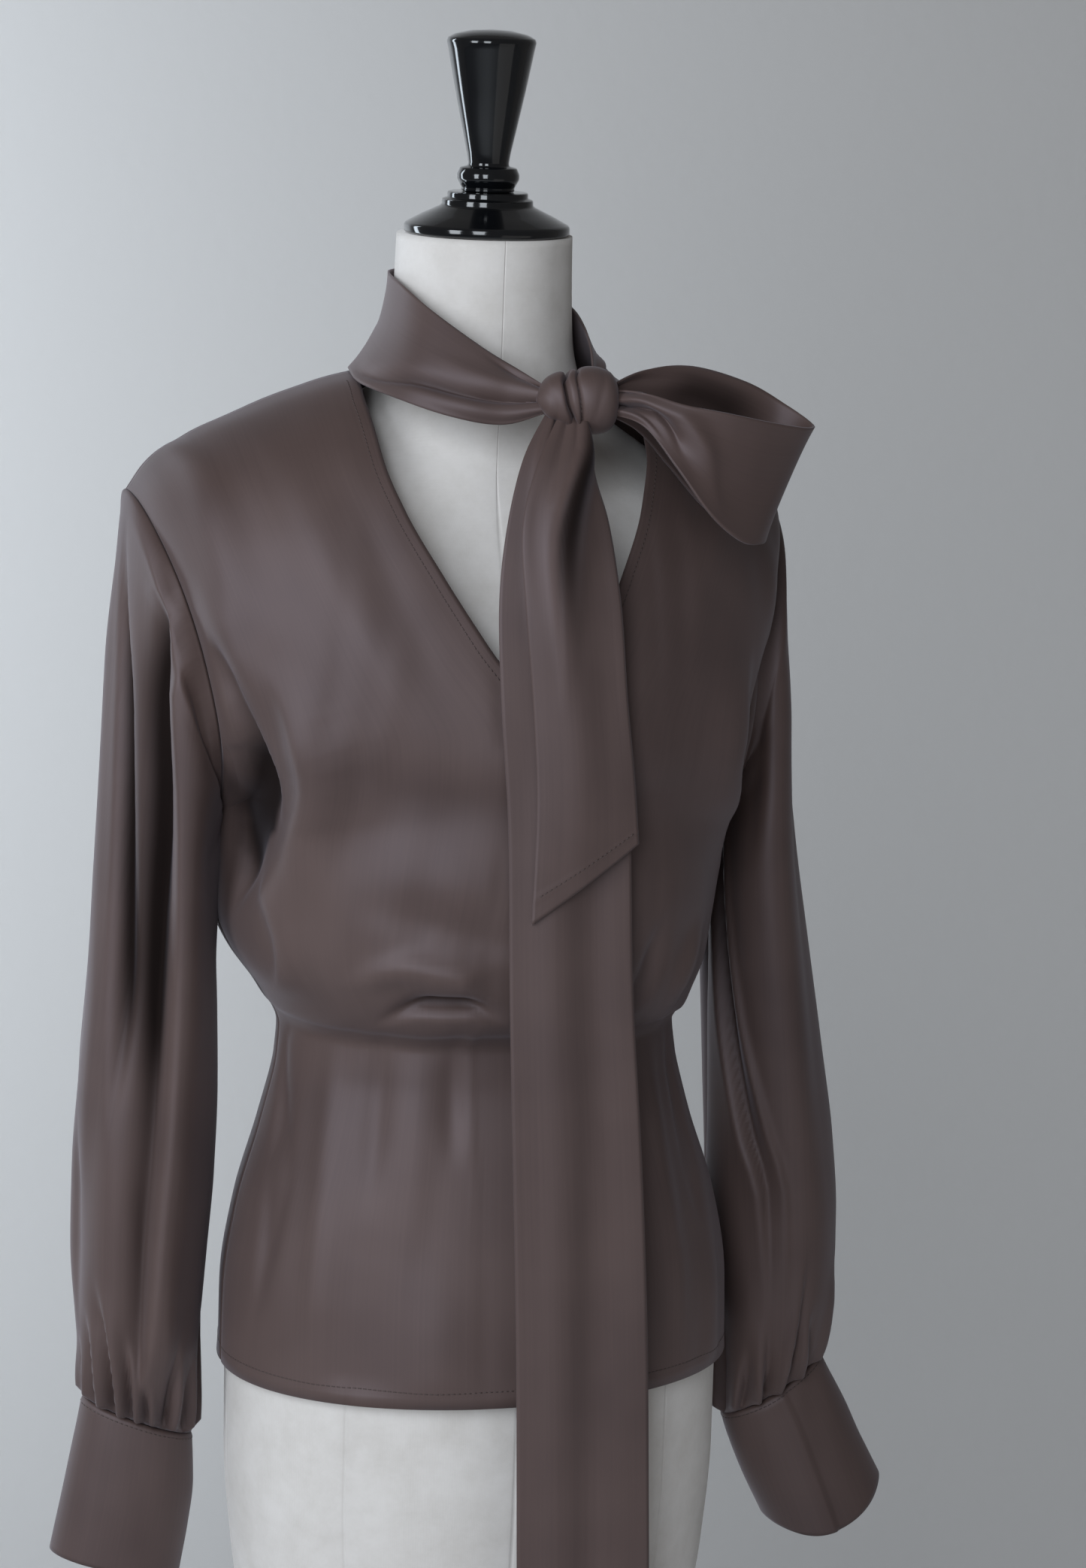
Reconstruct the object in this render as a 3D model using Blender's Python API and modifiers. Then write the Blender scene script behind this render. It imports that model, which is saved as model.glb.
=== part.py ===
# A satin blouse with a tie neck, worn by a limbless dress form on a round base.
# Metres, +Z up. The wearer faces -Y and the wearer's right side is at -X.
# The origin is the centre of the base's underside.

import math

import bmesh
import bpy
from mathutils import Matrix, Vector

# ---------------------------------------------------------------- driving sizes
CLOTH = 0.0015            # wall of every cloth piece
SEAM_GAP = 0.0006         # clearance where two pieces are sewn together
SHOULDER_GAP = 0.0012     # the same at the shoulder seam, where the walls lean together
SHOULDER_SPLIT = 1 / 3    # share of the shoulder's gap that the front gives
TIE_WALL = 0.0012         # wall of the tie's single layers

SHOULDER_HALF = 0.204     # centre to the shoulder tip
SHOULDER_HEIGHT = 1.388   # height of the shoulder tip
SHOULDER_Y = 0.035
UNDERARM_HALF = 0.162
UNDERARM_HEIGHT = 1.195
UNDERARM_Y = 0.020
ARMHOLE_FRONT_Y = -0.045  # the armhole's furthest point forward
ARMHOLE_BACK_Y = 0.085    # and backward
ARMHOLE_FRONT_BOW = 0.0085 # how far the front armhole is cut in towards the chest
ARMHOLE_BACK_BOW = 0.004

NECK_POINT = Vector((0.0775, 0.012, 1.4605))  # where the shoulder seam meets the neck
BACK_NECK = Vector((0.0, 0.070, 1.452))      # centre back of the neckline
NECK_SHARE = 0.36         # share of the back's top edge that is neckline
BACK_LEVEL = 0.39         # share of the back's width that doesn't fall towards the armhole
V_SHIFT = 0.0065          # the V hangs a little towards the wearer's left
V_BOTTOM_ANGLE = 126      # armhole angle of the row where the V ends

ARM_STEP = 18             # degrees between points round an armhole
BODY_COLUMNS = 9          # faces from the centre to a side seam
NECK_COLUMNS = 3          # faces of the back from its centre to the neck point
HEM_HEIGHT = 0.85

# The blouse has settled on the form: above the waist it is turned a little towards
# the wearer's left, and it leans sideways by a few millimetres.
TURN = math.radians(3.0)
TURN_FROM, TURN_TO = 1.10, 1.26
LEAN_HEIGHTS = (0.60, 1.06, 1.12, 1.20, 1.29, 1.39, 1.46, 1.56)
LEAN_SHIFTS = (0.002, 0.003, -0.0015, -0.0020, -0.0065, -0.0080, -0.0025, -0.0010)

NECK_TILT = math.radians(6.0)   # the neck cap leans forward
CAP_LEAN = math.radians(-0.8)   # and very slightly towards the wearer's right
CAP_SEAT = Vector((-0.0005, -0.007, 1.5437))

POLE_RADIUS = 0.016
BASE_RADIUS = 0.180
BASE_HEIGHT = 0.018
FORM_BOTTOM = 0.680

# Rows of the front from the hem up to the underarm.
# Columns: height, y_middle, half_width, y_side, squareness.
FRONT_LOW = (
    (HEM_HEIGHT, -0.126, 0.1615, 0.000, 2.1),
    (0.900, -0.122, 0.1600, 0.000, 2.1),
    (0.950, -0.115, 0.1520, 0.002, 2.1),
    (1.000, -0.107, 0.1370, 0.005, 2.1),
    (1.040, -0.101, 0.1265, 0.008, 2.1),
    (1.060, -0.101, 0.1245, 0.010, 2.1),
    (1.070, -0.107, 0.1270, 0.012, 2.2),
    (1.076, -0.118, 0.1310, 0.014, 2.3),
    (1.087, -0.128, 0.1360, 0.016, 2.3),
    (1.105, -0.135, 0.1450, 0.018, 2.3),
    (1.132, -0.141, 0.1515, 0.020, 2.2),
    (1.163, -0.144, 0.1565, 0.020, 2.1),
    (UNDERARM_HEIGHT, -0.1445, UNDERARM_HALF, UNDERARM_Y, 2.0),
)
# Rows of the front above the underarm, by their angle round the armhole.
TOP_COLUMNS = ("angle", "height", "y_inner", "half_inner", "square")
FRONT_TOP = (
    (180, UNDERARM_HEIGHT, -0.1445, 0.0, 2.0),
    (153, 1.228, -0.1450, 0.0, 2.0),
    (126, 1.257, -0.1420, 0.0, 2.0),
    (99, 1.306, -0.1290, 0.0320, 2.0),
    (76, 1.345, -0.1130, 0.0540, 2.0),
    (56, 1.383, -0.0940, 0.0725, 2.0),
    (38, 1.416, -0.0700, 0.0820, 2.0),
    (22, 1.442, -0.0410, 0.0835, 2.0),
    (9, 1.4565, -0.0120, 0.0800, 2.0),
    (0, NECK_POINT.z, NECK_POINT.y, NECK_POINT.x, 2.0),
)
# Rows of the back from the hem up to the underarm.
# Columns: height, y_middle, half_width, y_side, squareness.
BACK_LOW = (
    (HEM_HEIGHT, 0.134, 0.1615, 0.000, 2.2),
    (0.900, 0.130, 0.1600, 0.000, 2.2),
    (0.950, 0.120, 0.1520, 0.002, 2.2),
    (1.000, 0.104, 0.1370, 0.005, 2.2),
    (1.040, 0.093, 0.1265, 0.008, 2.2),
    (1.060, 0.093, 0.1245, 0.010, 2.2),
    (1.070, 0.099, 0.1270, 0.012, 2.4),
    (1.076, 0.110, 0.1310, 0.014, 2.6),
    (1.087, 0.119, 0.1360, 0.016, 2.6),
    (1.105, 0.125, 0.1450, 0.018, 2.8),
    (1.132, 0.128, 0.1515, 0.020, 2.6),
    (1.163, 0.128, 0.1565, 0.020, 2.4),
    (UNDERARM_HEIGHT, 0.128, UNDERARM_HALF, UNDERARM_Y, 2.3),
)
# Rows of the back above the underarm, with the same columns as the front's.
BACK_TOP = (
    (180, UNDERARM_HEIGHT, 0.128, 0.0, 2.3),
    (150, 1.232, 0.128, 0.0, 2.3),
    (120, 1.272, 0.125, 0.0, 2.3),
    (90, 1.315, 0.120, 0.0, 2.2),
    (62, 1.360, 0.112, 0.0, 2.2),
    (40, 1.402, 0.101, 0.0, 2.1),
    (20, 1.433, 0.088, 0.0, 2.0),
    (0, 1.452, 0.070, 0.0, 2.0),
)

HEAD_GAP = 0.0009         # clearance from the armhole's edge to the sleeve's head
HEAD_OUT = 0.0050         # how far the head stands out beyond that before it falls
HEAD_TIP_SHARE = 0.4      # share of that at the shoulder tip and the underarm

# Rings of a sleeve below the armhole. The outer and inner ends of each ring have their own heights.
# Columns: x_outer, z_outer, x_inner, z_inner, y_front, y_back.
RIGHT_SLEEVE = (
    (0.2165, 1.376, 0.1655, 1.1915, -0.0550, 0.089),
    (0.2190, 1.348, 0.1652, 1.1820, -0.0530, 0.091),
    (0.2225, 1.300, 0.1640, 1.1640, -0.0470, 0.091),
    (0.2260, 1.235, 0.1620, 1.1380, -0.0390, 0.088),
    (0.2305, 1.165, 0.1590, 1.1060, -0.0300, 0.086),
    (0.2350, 1.100, 0.1575, 1.0680, -0.0250, 0.083),
    (0.2410, 1.035, 0.1570, 1.0200, -0.0230, 0.082),
    (0.2460, 0.972, 0.1590, 0.9650, -0.0220, 0.083),
    (0.2470, 0.920, 0.1640, 0.9120, -0.0210, 0.083),
    (0.2450, 0.876, 0.1675, 0.8620, -0.0180, 0.078),
    (0.2425, 0.846, 0.1700, 0.8250, -0.0090, 0.069),
    (0.2405, 0.8237, 0.1715, 0.7960, 0.0060, 0.054),
)
LEFT_SLEEVE = (
    (0.1975, 1.372, 0.1640, 1.1915, -0.0360, 0.096),
    (0.1990, 1.345, 0.1640, 1.1820, -0.0350, 0.098),
    (0.2030, 1.300, 0.1638, 1.1640, -0.0330, 0.096),
    (0.2080, 1.235, 0.1632, 1.1380, -0.0300, 0.092),
    (0.2165, 1.165, 0.1625, 1.1060, -0.0260, 0.087),
    (0.2270, 1.100, 0.1625, 1.0680, -0.0240, 0.083),
    (0.2380, 1.035, 0.1635, 1.0180, -0.0230, 0.082),
    (0.2480, 0.972, 0.1650, 0.9580, -0.0220, 0.083),
    (0.2520, 0.920, 0.1680, 0.9000, -0.0210, 0.083),
    (0.2515, 0.876, 0.1720, 0.8480, -0.0180, 0.078),
    (0.2485, 0.846, 0.1750, 0.8080, -0.0090, 0.069),
    (0.2450, 0.8233, 0.1790, 0.7830, 0.0060, 0.054),
)
# Rings of a cuff from its seam to its open end.
RIGHT_CUFF = (
    (0.2406, 0.8231, 0.1716, 0.7954, 0.0060, 0.054),
    (0.2480, 0.7890, 0.1715, 0.7660, 0.0040, 0.056),
    (0.2545, 0.7560, 0.1745, 0.7360, 0.0030, 0.057),
    (0.2610, 0.7250, 0.1795, 0.7060, 0.0030, 0.058),
)
LEFT_CUFF = (
    (0.2452, 0.8227, 0.1792, 0.7824, 0.0060, 0.054),
    (0.2610, 0.7940, 0.1890, 0.7570, 0.0020, 0.058),
    (0.2755, 0.7650, 0.1990, 0.7330, -0.0020, 0.061),
    (0.2895, 0.7360, 0.2090, 0.7120, -0.0060, 0.064),
)
LEFT_CUFF_DROP = 0.016    # the left cuff's open end hangs lower at the front

# Stations of the neck band, from the knot round the wearer's right, the nape and the left.
STRIP_COLUMNS = ("x_low", "y_low", "z_low", "x_high", "y_high", "z_high", "swell")
NECK_BAND = (
    (0.0051, -0.1075, 1.4370, 0.0051, -0.1065, 1.4565, -0.001),
    (-0.0120, -0.1000, 1.4325, -0.0010, -0.0900, 1.4640, -0.004),
    (-0.0414, -0.0930, 1.4365, -0.0190, -0.0800, 1.4755, -0.004),
    (-0.0687, -0.0740, 1.4460, -0.0430, -0.0600, 1.4950, -0.001),
    (-0.0850, -0.0370, 1.4550, -0.0565, -0.0280, 1.5120, 0.005),
    (-0.0787, 0.0120, 1.4621, -0.0575, 0.0060, 1.5195, 0.006),
    (-0.0645, 0.0447, 1.4587, -0.0475, 0.0350, 1.5225, 0.004),
    (-0.0350, 0.0640, 1.4547, -0.0280, 0.0550, 1.5240, 0.002),
    (0.0000, 0.0700, 1.4535, 0.0000, 0.0620, 1.5240, 0.001),
    (0.0350, 0.0640, 1.4547, 0.0270, 0.0540, 1.5200, 0.002),
    (0.0645, 0.0447, 1.4587, 0.0460, 0.0330, 1.5120, 0.004),
    (0.0787, 0.0120, 1.4621, 0.0558, 0.0030, 1.5010, 0.006),
    (0.0800, -0.0300, 1.4550, 0.0560, -0.0270, 1.4890, 0.004),
    (0.0720, -0.0640, 1.4460, 0.0520, -0.0560, 1.4770, 0.001),
    (0.0540, -0.0850, 1.4400, 0.0470, -0.0800, 1.4650, 0.000),
)
BAND_STEPS = 2
SEWN_STATIONS = range(5, 12)   # where the band's lower edge is sewn to the neckline
BAND_ACROSS = 4

KNOT_CENTRE = Vector((0.0295, -0.1080, 1.4470))
KNOT_HALF = Vector((0.0240, 0.0160, 0.0178))
KNOT_GROOVE_X = 0.003     # the fold between the knot's two wraps, from its centre
KNOT_GROOVE_DEPTH = 0.12
KNOT_GROOVE_WIDTH = 0.006

# Stations of the bow's loop: out along its back layer, round the outer fold, home along the front layer.
LOOP = (
    (0.0538, -0.1050, 1.4380, 0.0538, -0.1045, 1.4560, 0.000),
    (0.0700, -0.1000, 1.4290, 0.0740, -0.0970, 1.4650, -0.002),
    (0.0900, -0.0960, 1.4090, 0.1050, -0.0880, 1.4675, -0.005),
    (0.1130, -0.0970, 1.3840, 0.1400, -0.0870, 1.4585, -0.007),
    (0.1330, -0.1040, 1.3720, 0.1640, -0.0930, 1.4450, -0.005),
    (0.1425, -0.1180, 1.3690, 0.1740, -0.1090, 1.4350, 0.000),
    (0.1360, -0.1330, 1.3655, 0.1650, -0.1270, 1.4330, 0.005),
    (0.1200, -0.1440, 1.3680, 0.1400, -0.1400, 1.4360, 0.008),
    (0.1000, -0.1490, 1.3830, 0.1120, -0.1470, 1.4410, 0.008),
    (0.0800, -0.1450, 1.4100, 0.0850, -0.1430, 1.4460, 0.005),
    (0.0640, -0.1300, 1.4330, 0.0650, -0.1280, 1.4520, 0.002),
    (0.0538, -0.1130, 1.4390, 0.0538, -0.1130, 1.4540, 0.001),
)
LOOP_STEPS = 2
LOOP_ACROSS = 4

# Stations of the tie's two hanging ends, each from the knot down. "low" is the wearer's right edge.
SHORT_END = (
    (0.0180, -0.1135, 1.4304, 0.0320, -0.1135, 1.4302, 0.001),
    (0.0000, -0.1300, 1.4080, 0.0345, -0.1300, 1.4060, 0.005),
    (-0.0105, -0.1420, 1.3740, 0.0415, -0.1400, 1.3770, 0.007),
    (-0.0090, -0.1485, 1.3270, 0.0475, -0.1475, 1.3320, 0.006),
    (-0.0040, -0.1495, 1.2720, 0.0520, -0.1490, 1.2780, 0.005),
    (-0.0010, -0.1500, 1.2150, 0.0570, -0.1495, 1.2320, 0.004),
    (-0.0030, -0.1500, 1.1470, 0.0605, -0.1495, 1.1930, 0.003),
)
LONG_END = (
    (0.0090, -0.1065, 1.4350, 0.0230, -0.1065, 1.4284, 0.000),
    (-0.0050, -0.1200, 1.4130, 0.0290, -0.1200, 1.4100, 0.002),
    (-0.0170, -0.1320, 1.3740, 0.0400, -0.1320, 1.3740, 0.002),
    (-0.0230, -0.1410, 1.3300, 0.0460, -0.1410, 1.3300, 0.002),
    (-0.0215, -0.1453, 1.2700, 0.0520, -0.1453, 1.2700, 0.002),
    (-0.0165, -0.1453, 1.2000, 0.0565, -0.1453, 1.2000, 0.002),
    (-0.0140, -0.1453, 1.1000, 0.0605, -0.1453, 1.1000, 0.002),
    (-0.0105, -0.1453, 1.0000, 0.0680, -0.1453, 1.0000, 0.002),
    (-0.0070, -0.1453, 0.9000, 0.0735, -0.1453, 0.9000, 0.002),
    (-0.0050, -0.1453, 0.8000, 0.0765, -0.1453, 0.8000, 0.002),
    (-0.0035, -0.1453, 0.7000, 0.0790, -0.1453, 0.7000, 0.002),
    (-0.0030, -0.1453, 0.5800, 0.0800, -0.1453, 0.6300, 0.002),
)
END_STEPS = 2
END_ACROSS = 4

# Rings of the dress form from its bottom to the top of its neck. A shoulder slopes down to
# the back and front from its widest line, so each ring says where it is widest.
# Columns: height, half_width, y_front, y_widest, y_back, squareness.
FORM_ROWS = (
    (FORM_BOTTOM, 0.1450, -0.0980, 0.0040, 0.1060, 2.2),
    (0.720, 0.1510, -0.1040, 0.0050, 0.1140, 2.2),
    (0.790, 0.1560, -0.1120, 0.0060, 0.1240, 2.2),
    (0.860, 0.1560, -0.1150, 0.0055, 0.1260, 2.2),
    (0.920, 0.1510, -0.1100, 0.0040, 0.1180, 2.2),
    (0.970, 0.1430, -0.1020, 0.0010, 0.1040, 2.2),
    (1.020, 0.1230, -0.0930, -0.0025, 0.0880, 2.1),
    (1.060, 0.1160, -0.0890, -0.0045, 0.0800, 2.1),
    (1.100, 0.1230, -0.0980, -0.0070, 0.0840, 2.1),
    (1.150, 0.1320, -0.1150, -0.0115, 0.0920, 2.1),
    (1.200, 0.1400, -0.1300, -0.0150, 0.1000, 2.1),
    (1.235, 0.1430, -0.1300, -0.0130, 0.1040, 2.1),
    (1.280, 0.1470, -0.1170, -0.0050, 0.1070, 2.2),
    (1.325, 0.1550, -0.0990, 0.0220, 0.1060, 2.3),
    (1.355, 0.1620, -0.0860, 0.0220, 0.1010, 2.3),
    (1.378, 0.1600, -0.0770, 0.0220, 0.0950, 2.1),
    (1.398, 0.1420, -0.0710, 0.0220, 0.0880, 1.8),
    (1.415, 0.1180, -0.0660, 0.0220, 0.0800, 1.6),
    (1.430, 0.0940, -0.0620, 0.0220, 0.0710, 1.6),
    (1.443, 0.0750, -0.0590, 0.0220, 0.0630, 1.8),
    (1.458, 0.0620, -0.0560, 0.0005, 0.0570, 2.0),
    (1.480, 0.0560, -0.0560, -0.0020, 0.0520, 2.0),
    (1.510, 0.0540, -0.0565, -0.0032, 0.0500, 2.0),
    (1.5434, 0.0530, -0.0575, -0.0045, 0.0485, 2.0),
)
FORM_SEGMENTS = 36

# Turned profiles as radius and height above the cap's seat, from the top down.
FINIAL_PROFILE = (
    (0.0000, 0.1200), (0.0120, 0.1193), (0.0215, 0.1172), (0.0260, 0.1148), (0.0268, 0.1128),
    (0.0258, 0.1085), (0.0212, 0.0850), (0.0165, 0.0630), (0.0132, 0.0480), (0.0122, 0.0418),
    (0.0126, 0.0402), (0.0170, 0.0392), (0.0187, 0.0355), (0.0187, 0.0325), (0.0168, 0.0290),
    (0.0160, 0.0278), (0.0160, 0.0253), (0.0000, 0.0253),
)
CAP_PROFILE = (
    (0.0000, 0.0250), (0.0235, 0.0250), (0.0243, 0.0243), (0.0243, 0.0215), (0.0268, 0.0208),
    (0.0275, 0.0200), (0.0275, 0.0172), (0.0290, 0.0162), (0.0390, 0.0115), (0.0490, 0.0062),
    (0.0500, 0.0050), (0.0500, 0.0010), (0.0490, 0.0003), (0.0000, 0.0003),
)
TURNED_STEPS = 40

# Colour, roughness and metallic value of each material.
MATERIALS = {
    "satin": ((0.125, 0.090, 0.075), 0.38, 0.0),
    "linen": ((0.720, 0.680, 0.590), 0.85, 0.0),
    "black_gloss": ((0.006, 0.007, 0.010), 0.10, 0.0),
    "black_metal": ((0.015, 0.015, 0.016), 0.35, 1.0),
}


# ---------------------------------------------------------------- small helpers
def clear_scene():
    for thing in list(bpy.data.objects):
        bpy.data.objects.remove(thing, do_unlink=True)


def material(name):
    made = bpy.data.materials.get(name)
    if made:
        return made
    colour, roughness, metallic = MATERIALS[name]
    made = bpy.data.materials.new(name)
    made.use_nodes = True
    shader = made.node_tree.nodes["Principled BSDF"]
    shader.inputs["Base Color"].default_value = (*colour, 1.0)
    shader.inputs["Roughness"].default_value = roughness
    shader.inputs["Metallic"].default_value = metallic
    return made


def column(table, columns, name):
    place = columns.index(name)
    return [row[place] for row in table]


def smooth_value(keys, values, key):
    """Reads a smooth curve through the values, which never swings past them."""
    last = len(keys) - 1
    i = 0
    while i < last - 1 and key > keys[i + 1]:
        i += 1
    spans = [keys[k + 1] - keys[k] for k in range(last)]
    slopes = [(values[k + 1] - values[k]) / spans[k] for k in range(last)]

    def tangent(k):
        if k == 0:
            return slopes[0]
        if k == last:
            return slopes[-1]
        if slopes[k - 1] * slopes[k] <= 0.0:
            return 0.0
        before, after = spans[k - 1], spans[k]
        heavy, light = 2 * after + before, after + 2 * before
        return (heavy + light) / (heavy / slopes[k - 1] + light / slopes[k])

    t = (key - keys[i]) / spans[i]
    h00 = 2 * t ** 3 - 3 * t ** 2 + 1
    h10 = t ** 3 - 2 * t ** 2 + t
    h01 = -2 * t ** 3 + 3 * t ** 2
    h11 = t ** 3 - t ** 2
    return (h00 * values[i] + h10 * spans[i] * tangent(i)
            + h01 * values[i + 1] + h11 * spans[i] * tangent(i + 1))


def loose_value(values, at):
    """Reads a rounder curve through evenly spaced values, for the tie's free edges."""
    last = len(values) - 1
    i = min(int(at), last - 1)
    t = at - i
    before = values[i - 1] if i > 0 else 2 * values[0] - values[1]
    after = values[i + 2] if i + 2 <= last else 2 * values[last] - values[last - 1]
    here, there = values[i], values[i + 1]
    return 0.5 * (2 * here + (there - before) * t
                  + (2 * before - 5 * here + 4 * there - after) * t ** 2
                  + (3 * here - before - 3 * there + after) * t ** 3)


def new_object(name, mesh, material_name, collection):
    made = bpy.data.objects.new(name, mesh)
    made.data.materials.append(material(material_name))
    made.data.shade_smooth()
    collection.objects.link(made)
    return made


def grid_mesh(name, rows, closed_round=False, caps=False):
    """Joins rows of points into one surface. Every row has the same number of points."""
    work = bmesh.new()
    verts = [[work.verts.new(point) for point in row] for row in rows]
    count = len(rows[0])
    reach = count if closed_round else count - 1
    for lower, upper in zip(verts, verts[1:]):
        for k in range(reach):
            nxt = (k + 1) % count
            work.faces.new((lower[k], lower[nxt], upper[nxt], upper[k]))
    if caps:
        work.faces.new(tuple(reversed(verts[0])))
        work.faces.new(tuple(verts[-1]))
    mesh = bpy.data.meshes.new(name)
    work.to_mesh(mesh)
    work.free()
    return mesh


def thicken(made, wall, offset):
    shell = made.modifiers.new("wall", "SOLIDIFY")
    shell.thickness = wall
    shell.offset = offset
    shell.use_even_offset = True
    shell.use_rim = True


def weld_and_face_out(mesh, outward):
    """Merges doubled points and turns the faces so that they look along outward(centre)."""
    work = bmesh.new()
    work.from_mesh(mesh)
    bmesh.ops.remove_doubles(work, verts=work.verts, dist=0.00001)
    bmesh.ops.recalc_face_normals(work, faces=work.faces)
    score = sum(face.normal.dot(outward(face.calc_center_median())) for face in work.faces)
    if score < 0:
        bmesh.ops.reverse_faces(work, faces=work.faces)
    work.to_mesh(mesh)
    work.free()


def from_axis(point):
    """Direction away from the wearer's upright middle line."""
    away = Vector((point.x, point.y - 0.01, 0.0))
    return away.normalized() if away.length else Vector((0.0, -1.0, 0.0))


def lean(height):
    """How far the upright middle line stands to the side at a height."""
    if height <= LEAN_HEIGHTS[0]:
        return LEAN_SHIFTS[0]
    if height >= LEAN_HEIGHTS[-1]:
        return LEAN_SHIFTS[-1]
    return smooth_value(LEAN_HEIGHTS, LEAN_SHIFTS, height)


def settle(point):
    """Turns and leans a point of the blouse as it has settled on the form."""
    part = min(1.0, max(0.0, (point.z - TURN_FROM) / (TURN_TO - TURN_FROM)))
    settled = Matrix.Rotation(TURN * part * part * (3 - 2 * part), 3, "Z") @ point
    settled.x += lean(point.z)
    return settled


# ---------------------------------------------------------------- the armhole
def armhole(angle, side, forward):
    """A point of the armhole. 0 degrees is the shoulder tip and 180 the underarm."""
    turn = math.radians(angle)
    middle = Vector(((SHOULDER_HALF + UNDERARM_HALF) / 2, (SHOULDER_Y + UNDERARM_Y) / 2,
                     (SHOULDER_HEIGHT + UNDERARM_HEIGHT) / 2))
    reach = Vector((SHOULDER_HALF, SHOULDER_Y, SHOULDER_HEIGHT)) - middle
    edge_y, bow = ((ARMHOLE_FRONT_Y, ARMHOLE_FRONT_BOW) if forward
                   else (ARMHOLE_BACK_Y, ARMHOLE_BACK_BOW))
    point = middle + reach * math.cos(turn)
    point.y += (edge_y - middle.y) * math.sin(turn)
    point.x -= bow * math.sin(turn) ** 2
    point.x *= side
    return point


# ---------------------------------------------------------------- front and back
def across_row(inner, outer, share, square, level=0.0):
    """A point on a row from its inner end to its outer end, bowed like a quarter of an oval.
    The first "level" of the row keeps its height, and the rest falls towards the outer end."""
    turn = share * math.pi / 2
    power = 2.0 / square
    along = math.sin(turn) ** power
    back = 1.0 - math.cos(turn) ** power if share < 1.0 else 1.0
    slope = max(0.0, along - level) / (1.0 - level)
    fall = 0.75 * slope ** 1.3 + 0.25 * slope ** 12
    return Vector((inner.x + (outer.x - inner.x) * along,
                   inner.y + (outer.y - inner.y) * back,
                   inner.z + (outer.z - inner.z) * fall))


def low_row(row, side):
    """Inner end, outer end and squareness of a row between the hem and the underarm."""
    height, y_middle, half, y_side, square = row
    return Vector((0.0, y_middle, height)), Vector((side * half, y_side, height)), square


def top_row(table, side, angle, forward):
    """The same for a row above the underarm, by its angle round the armhole."""
    keys = [-row[0] for row in table]
    height, y_inner, half, square = [
        smooth_value(keys, column(table, TOP_COLUMNS, name), -angle)
        for name in TOP_COLUMNS[1:]]
    outer = armhole(angle, side, forward)
    return Vector((side * half, y_inner, height)), outer, square


def armhole_angles():
    return list(range(180 - ARM_STEP, -1, -ARM_STEP))


def front_rows(side):
    """Rows of one half of the front, from the hem to the shoulder seam."""
    rows = []
    shares = [k / BODY_COLUMNS for k in range(BODY_COLUMNS + 1)]
    for low in FRONT_LOW:
        inner, outer, square = low_row(low, side)
        outer.y -= SEAM_GAP / 2
        rows.append([across_row(inner, outer, share, square) for share in shares])
    for angle in armhole_angles():
        inner, outer, square = top_row(FRONT_TOP, side, angle, True)
        if angle >= V_BOTTOM_ANGLE:
            inner.x = V_SHIFT * (180 - angle) / (180 - V_BOTTOM_ANGLE)
        else:
            inner.x += V_SHIFT * min(1.0, angle / 40)
        seam = max(0.0, 1.0 - angle / 90.0) ** 2
        row = [across_row(inner, outer, share, square) for share in shares]
        for point in row:
            point.y -= SHOULDER_GAP * SHOULDER_SPLIT * seam
        rows.append(row)
    return [[settle(point) for point in row] for row in rows]


def make_panel(name, half_rows, collection):
    """Joins a panel's two halves along its middle and gives it its wall."""
    work = bmesh.new()
    for side in (-1, 1):
        half = grid_mesh("half", half_rows(side))
        work.from_mesh(half)
        bpy.data.meshes.remove(half)
    mesh = bpy.data.meshes.new(name)
    work.to_mesh(mesh)
    work.free()
    weld_and_face_out(mesh, from_axis)
    made = new_object(name, mesh, "satin", collection)
    thicken(made, CLOTH, -1.0)


def back_top_edge(side, share):
    """The back's top edge: the neckline, then the shoulder seam."""
    if share <= NECK_SHARE:
        turn = (share / NECK_SHARE) * math.pi / 2
        return Vector((side * NECK_POINT.x * math.sin(turn),
                       NECK_POINT.y + (BACK_NECK.y - NECK_POINT.y) * math.cos(turn),
                       BACK_NECK.z + (NECK_POINT.z - BACK_NECK.z) * math.sin(turn) ** 2))
    inner, outer, square = top_row(FRONT_TOP, side, 0, True)
    part = (share - NECK_SHARE) / (1.0 - NECK_SHARE)
    return across_row(inner, outer, part, square)


def back_shares():
    """Columns of the back: its shoulder points meet those of the front."""
    neck = [NECK_SHARE * k / NECK_COLUMNS for k in range(NECK_COLUMNS)]
    shoulder = [NECK_SHARE + (1.0 - NECK_SHARE) * k / BODY_COLUMNS for k in range(BODY_COLUMNS + 1)]
    return neck + shoulder


def back_rows(side):
    rows = []
    shares = back_shares()
    for low in BACK_LOW:
        inner, outer, square = low_row(low, side)
        outer.y += SEAM_GAP / 2
        rows.append([across_row(inner, outer, share, square) for share in shares])
    for angle in armhole_angles():
        inner, outer, square = top_row(BACK_TOP, side, angle, False)
        pull = max(0.0, 1.0 - angle / 90.0) ** 2
        row = []
        for share in shares:
            plain = across_row(inner, outer, share, square, BACK_LEVEL)
            point = plain.lerp(back_top_edge(side, share), pull)
            point.y += SHOULDER_GAP * (1 - SHOULDER_SPLIT) * pull
            row.append(point)
        rows.append(row)
    return [[settle(point) for point in row] for row in rows]


# ---------------------------------------------------------------- sleeves and cuffs
def ring_angles():
    return [k * ARM_STEP for k in range(360 // ARM_STEP)]


def tilted_ring(row, side, drop=0.0):
    """A ring whose outer end and inner end have their own heights."""
    x_outer, z_outer, x_inner, z_inner, y_front, y_back = row
    middle = Vector(((x_outer + x_inner) / 2, (y_front + y_back) / 2, (z_outer + z_inner) / 2))
    points = []
    for angle in ring_angles():
        turn = math.radians(angle)
        point = middle.copy()
        point.x += (x_outer - x_inner) / 2 * math.cos(turn)
        point.z += (z_outer - z_inner) / 2 * math.cos(turn)
        point.y -= (y_back - y_front) / 2 * math.sin(turn)
        point.z -= drop * max(0.0, math.sin(turn)) ** 2
        point.x *= side
        points.append(point)
    return points


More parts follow.
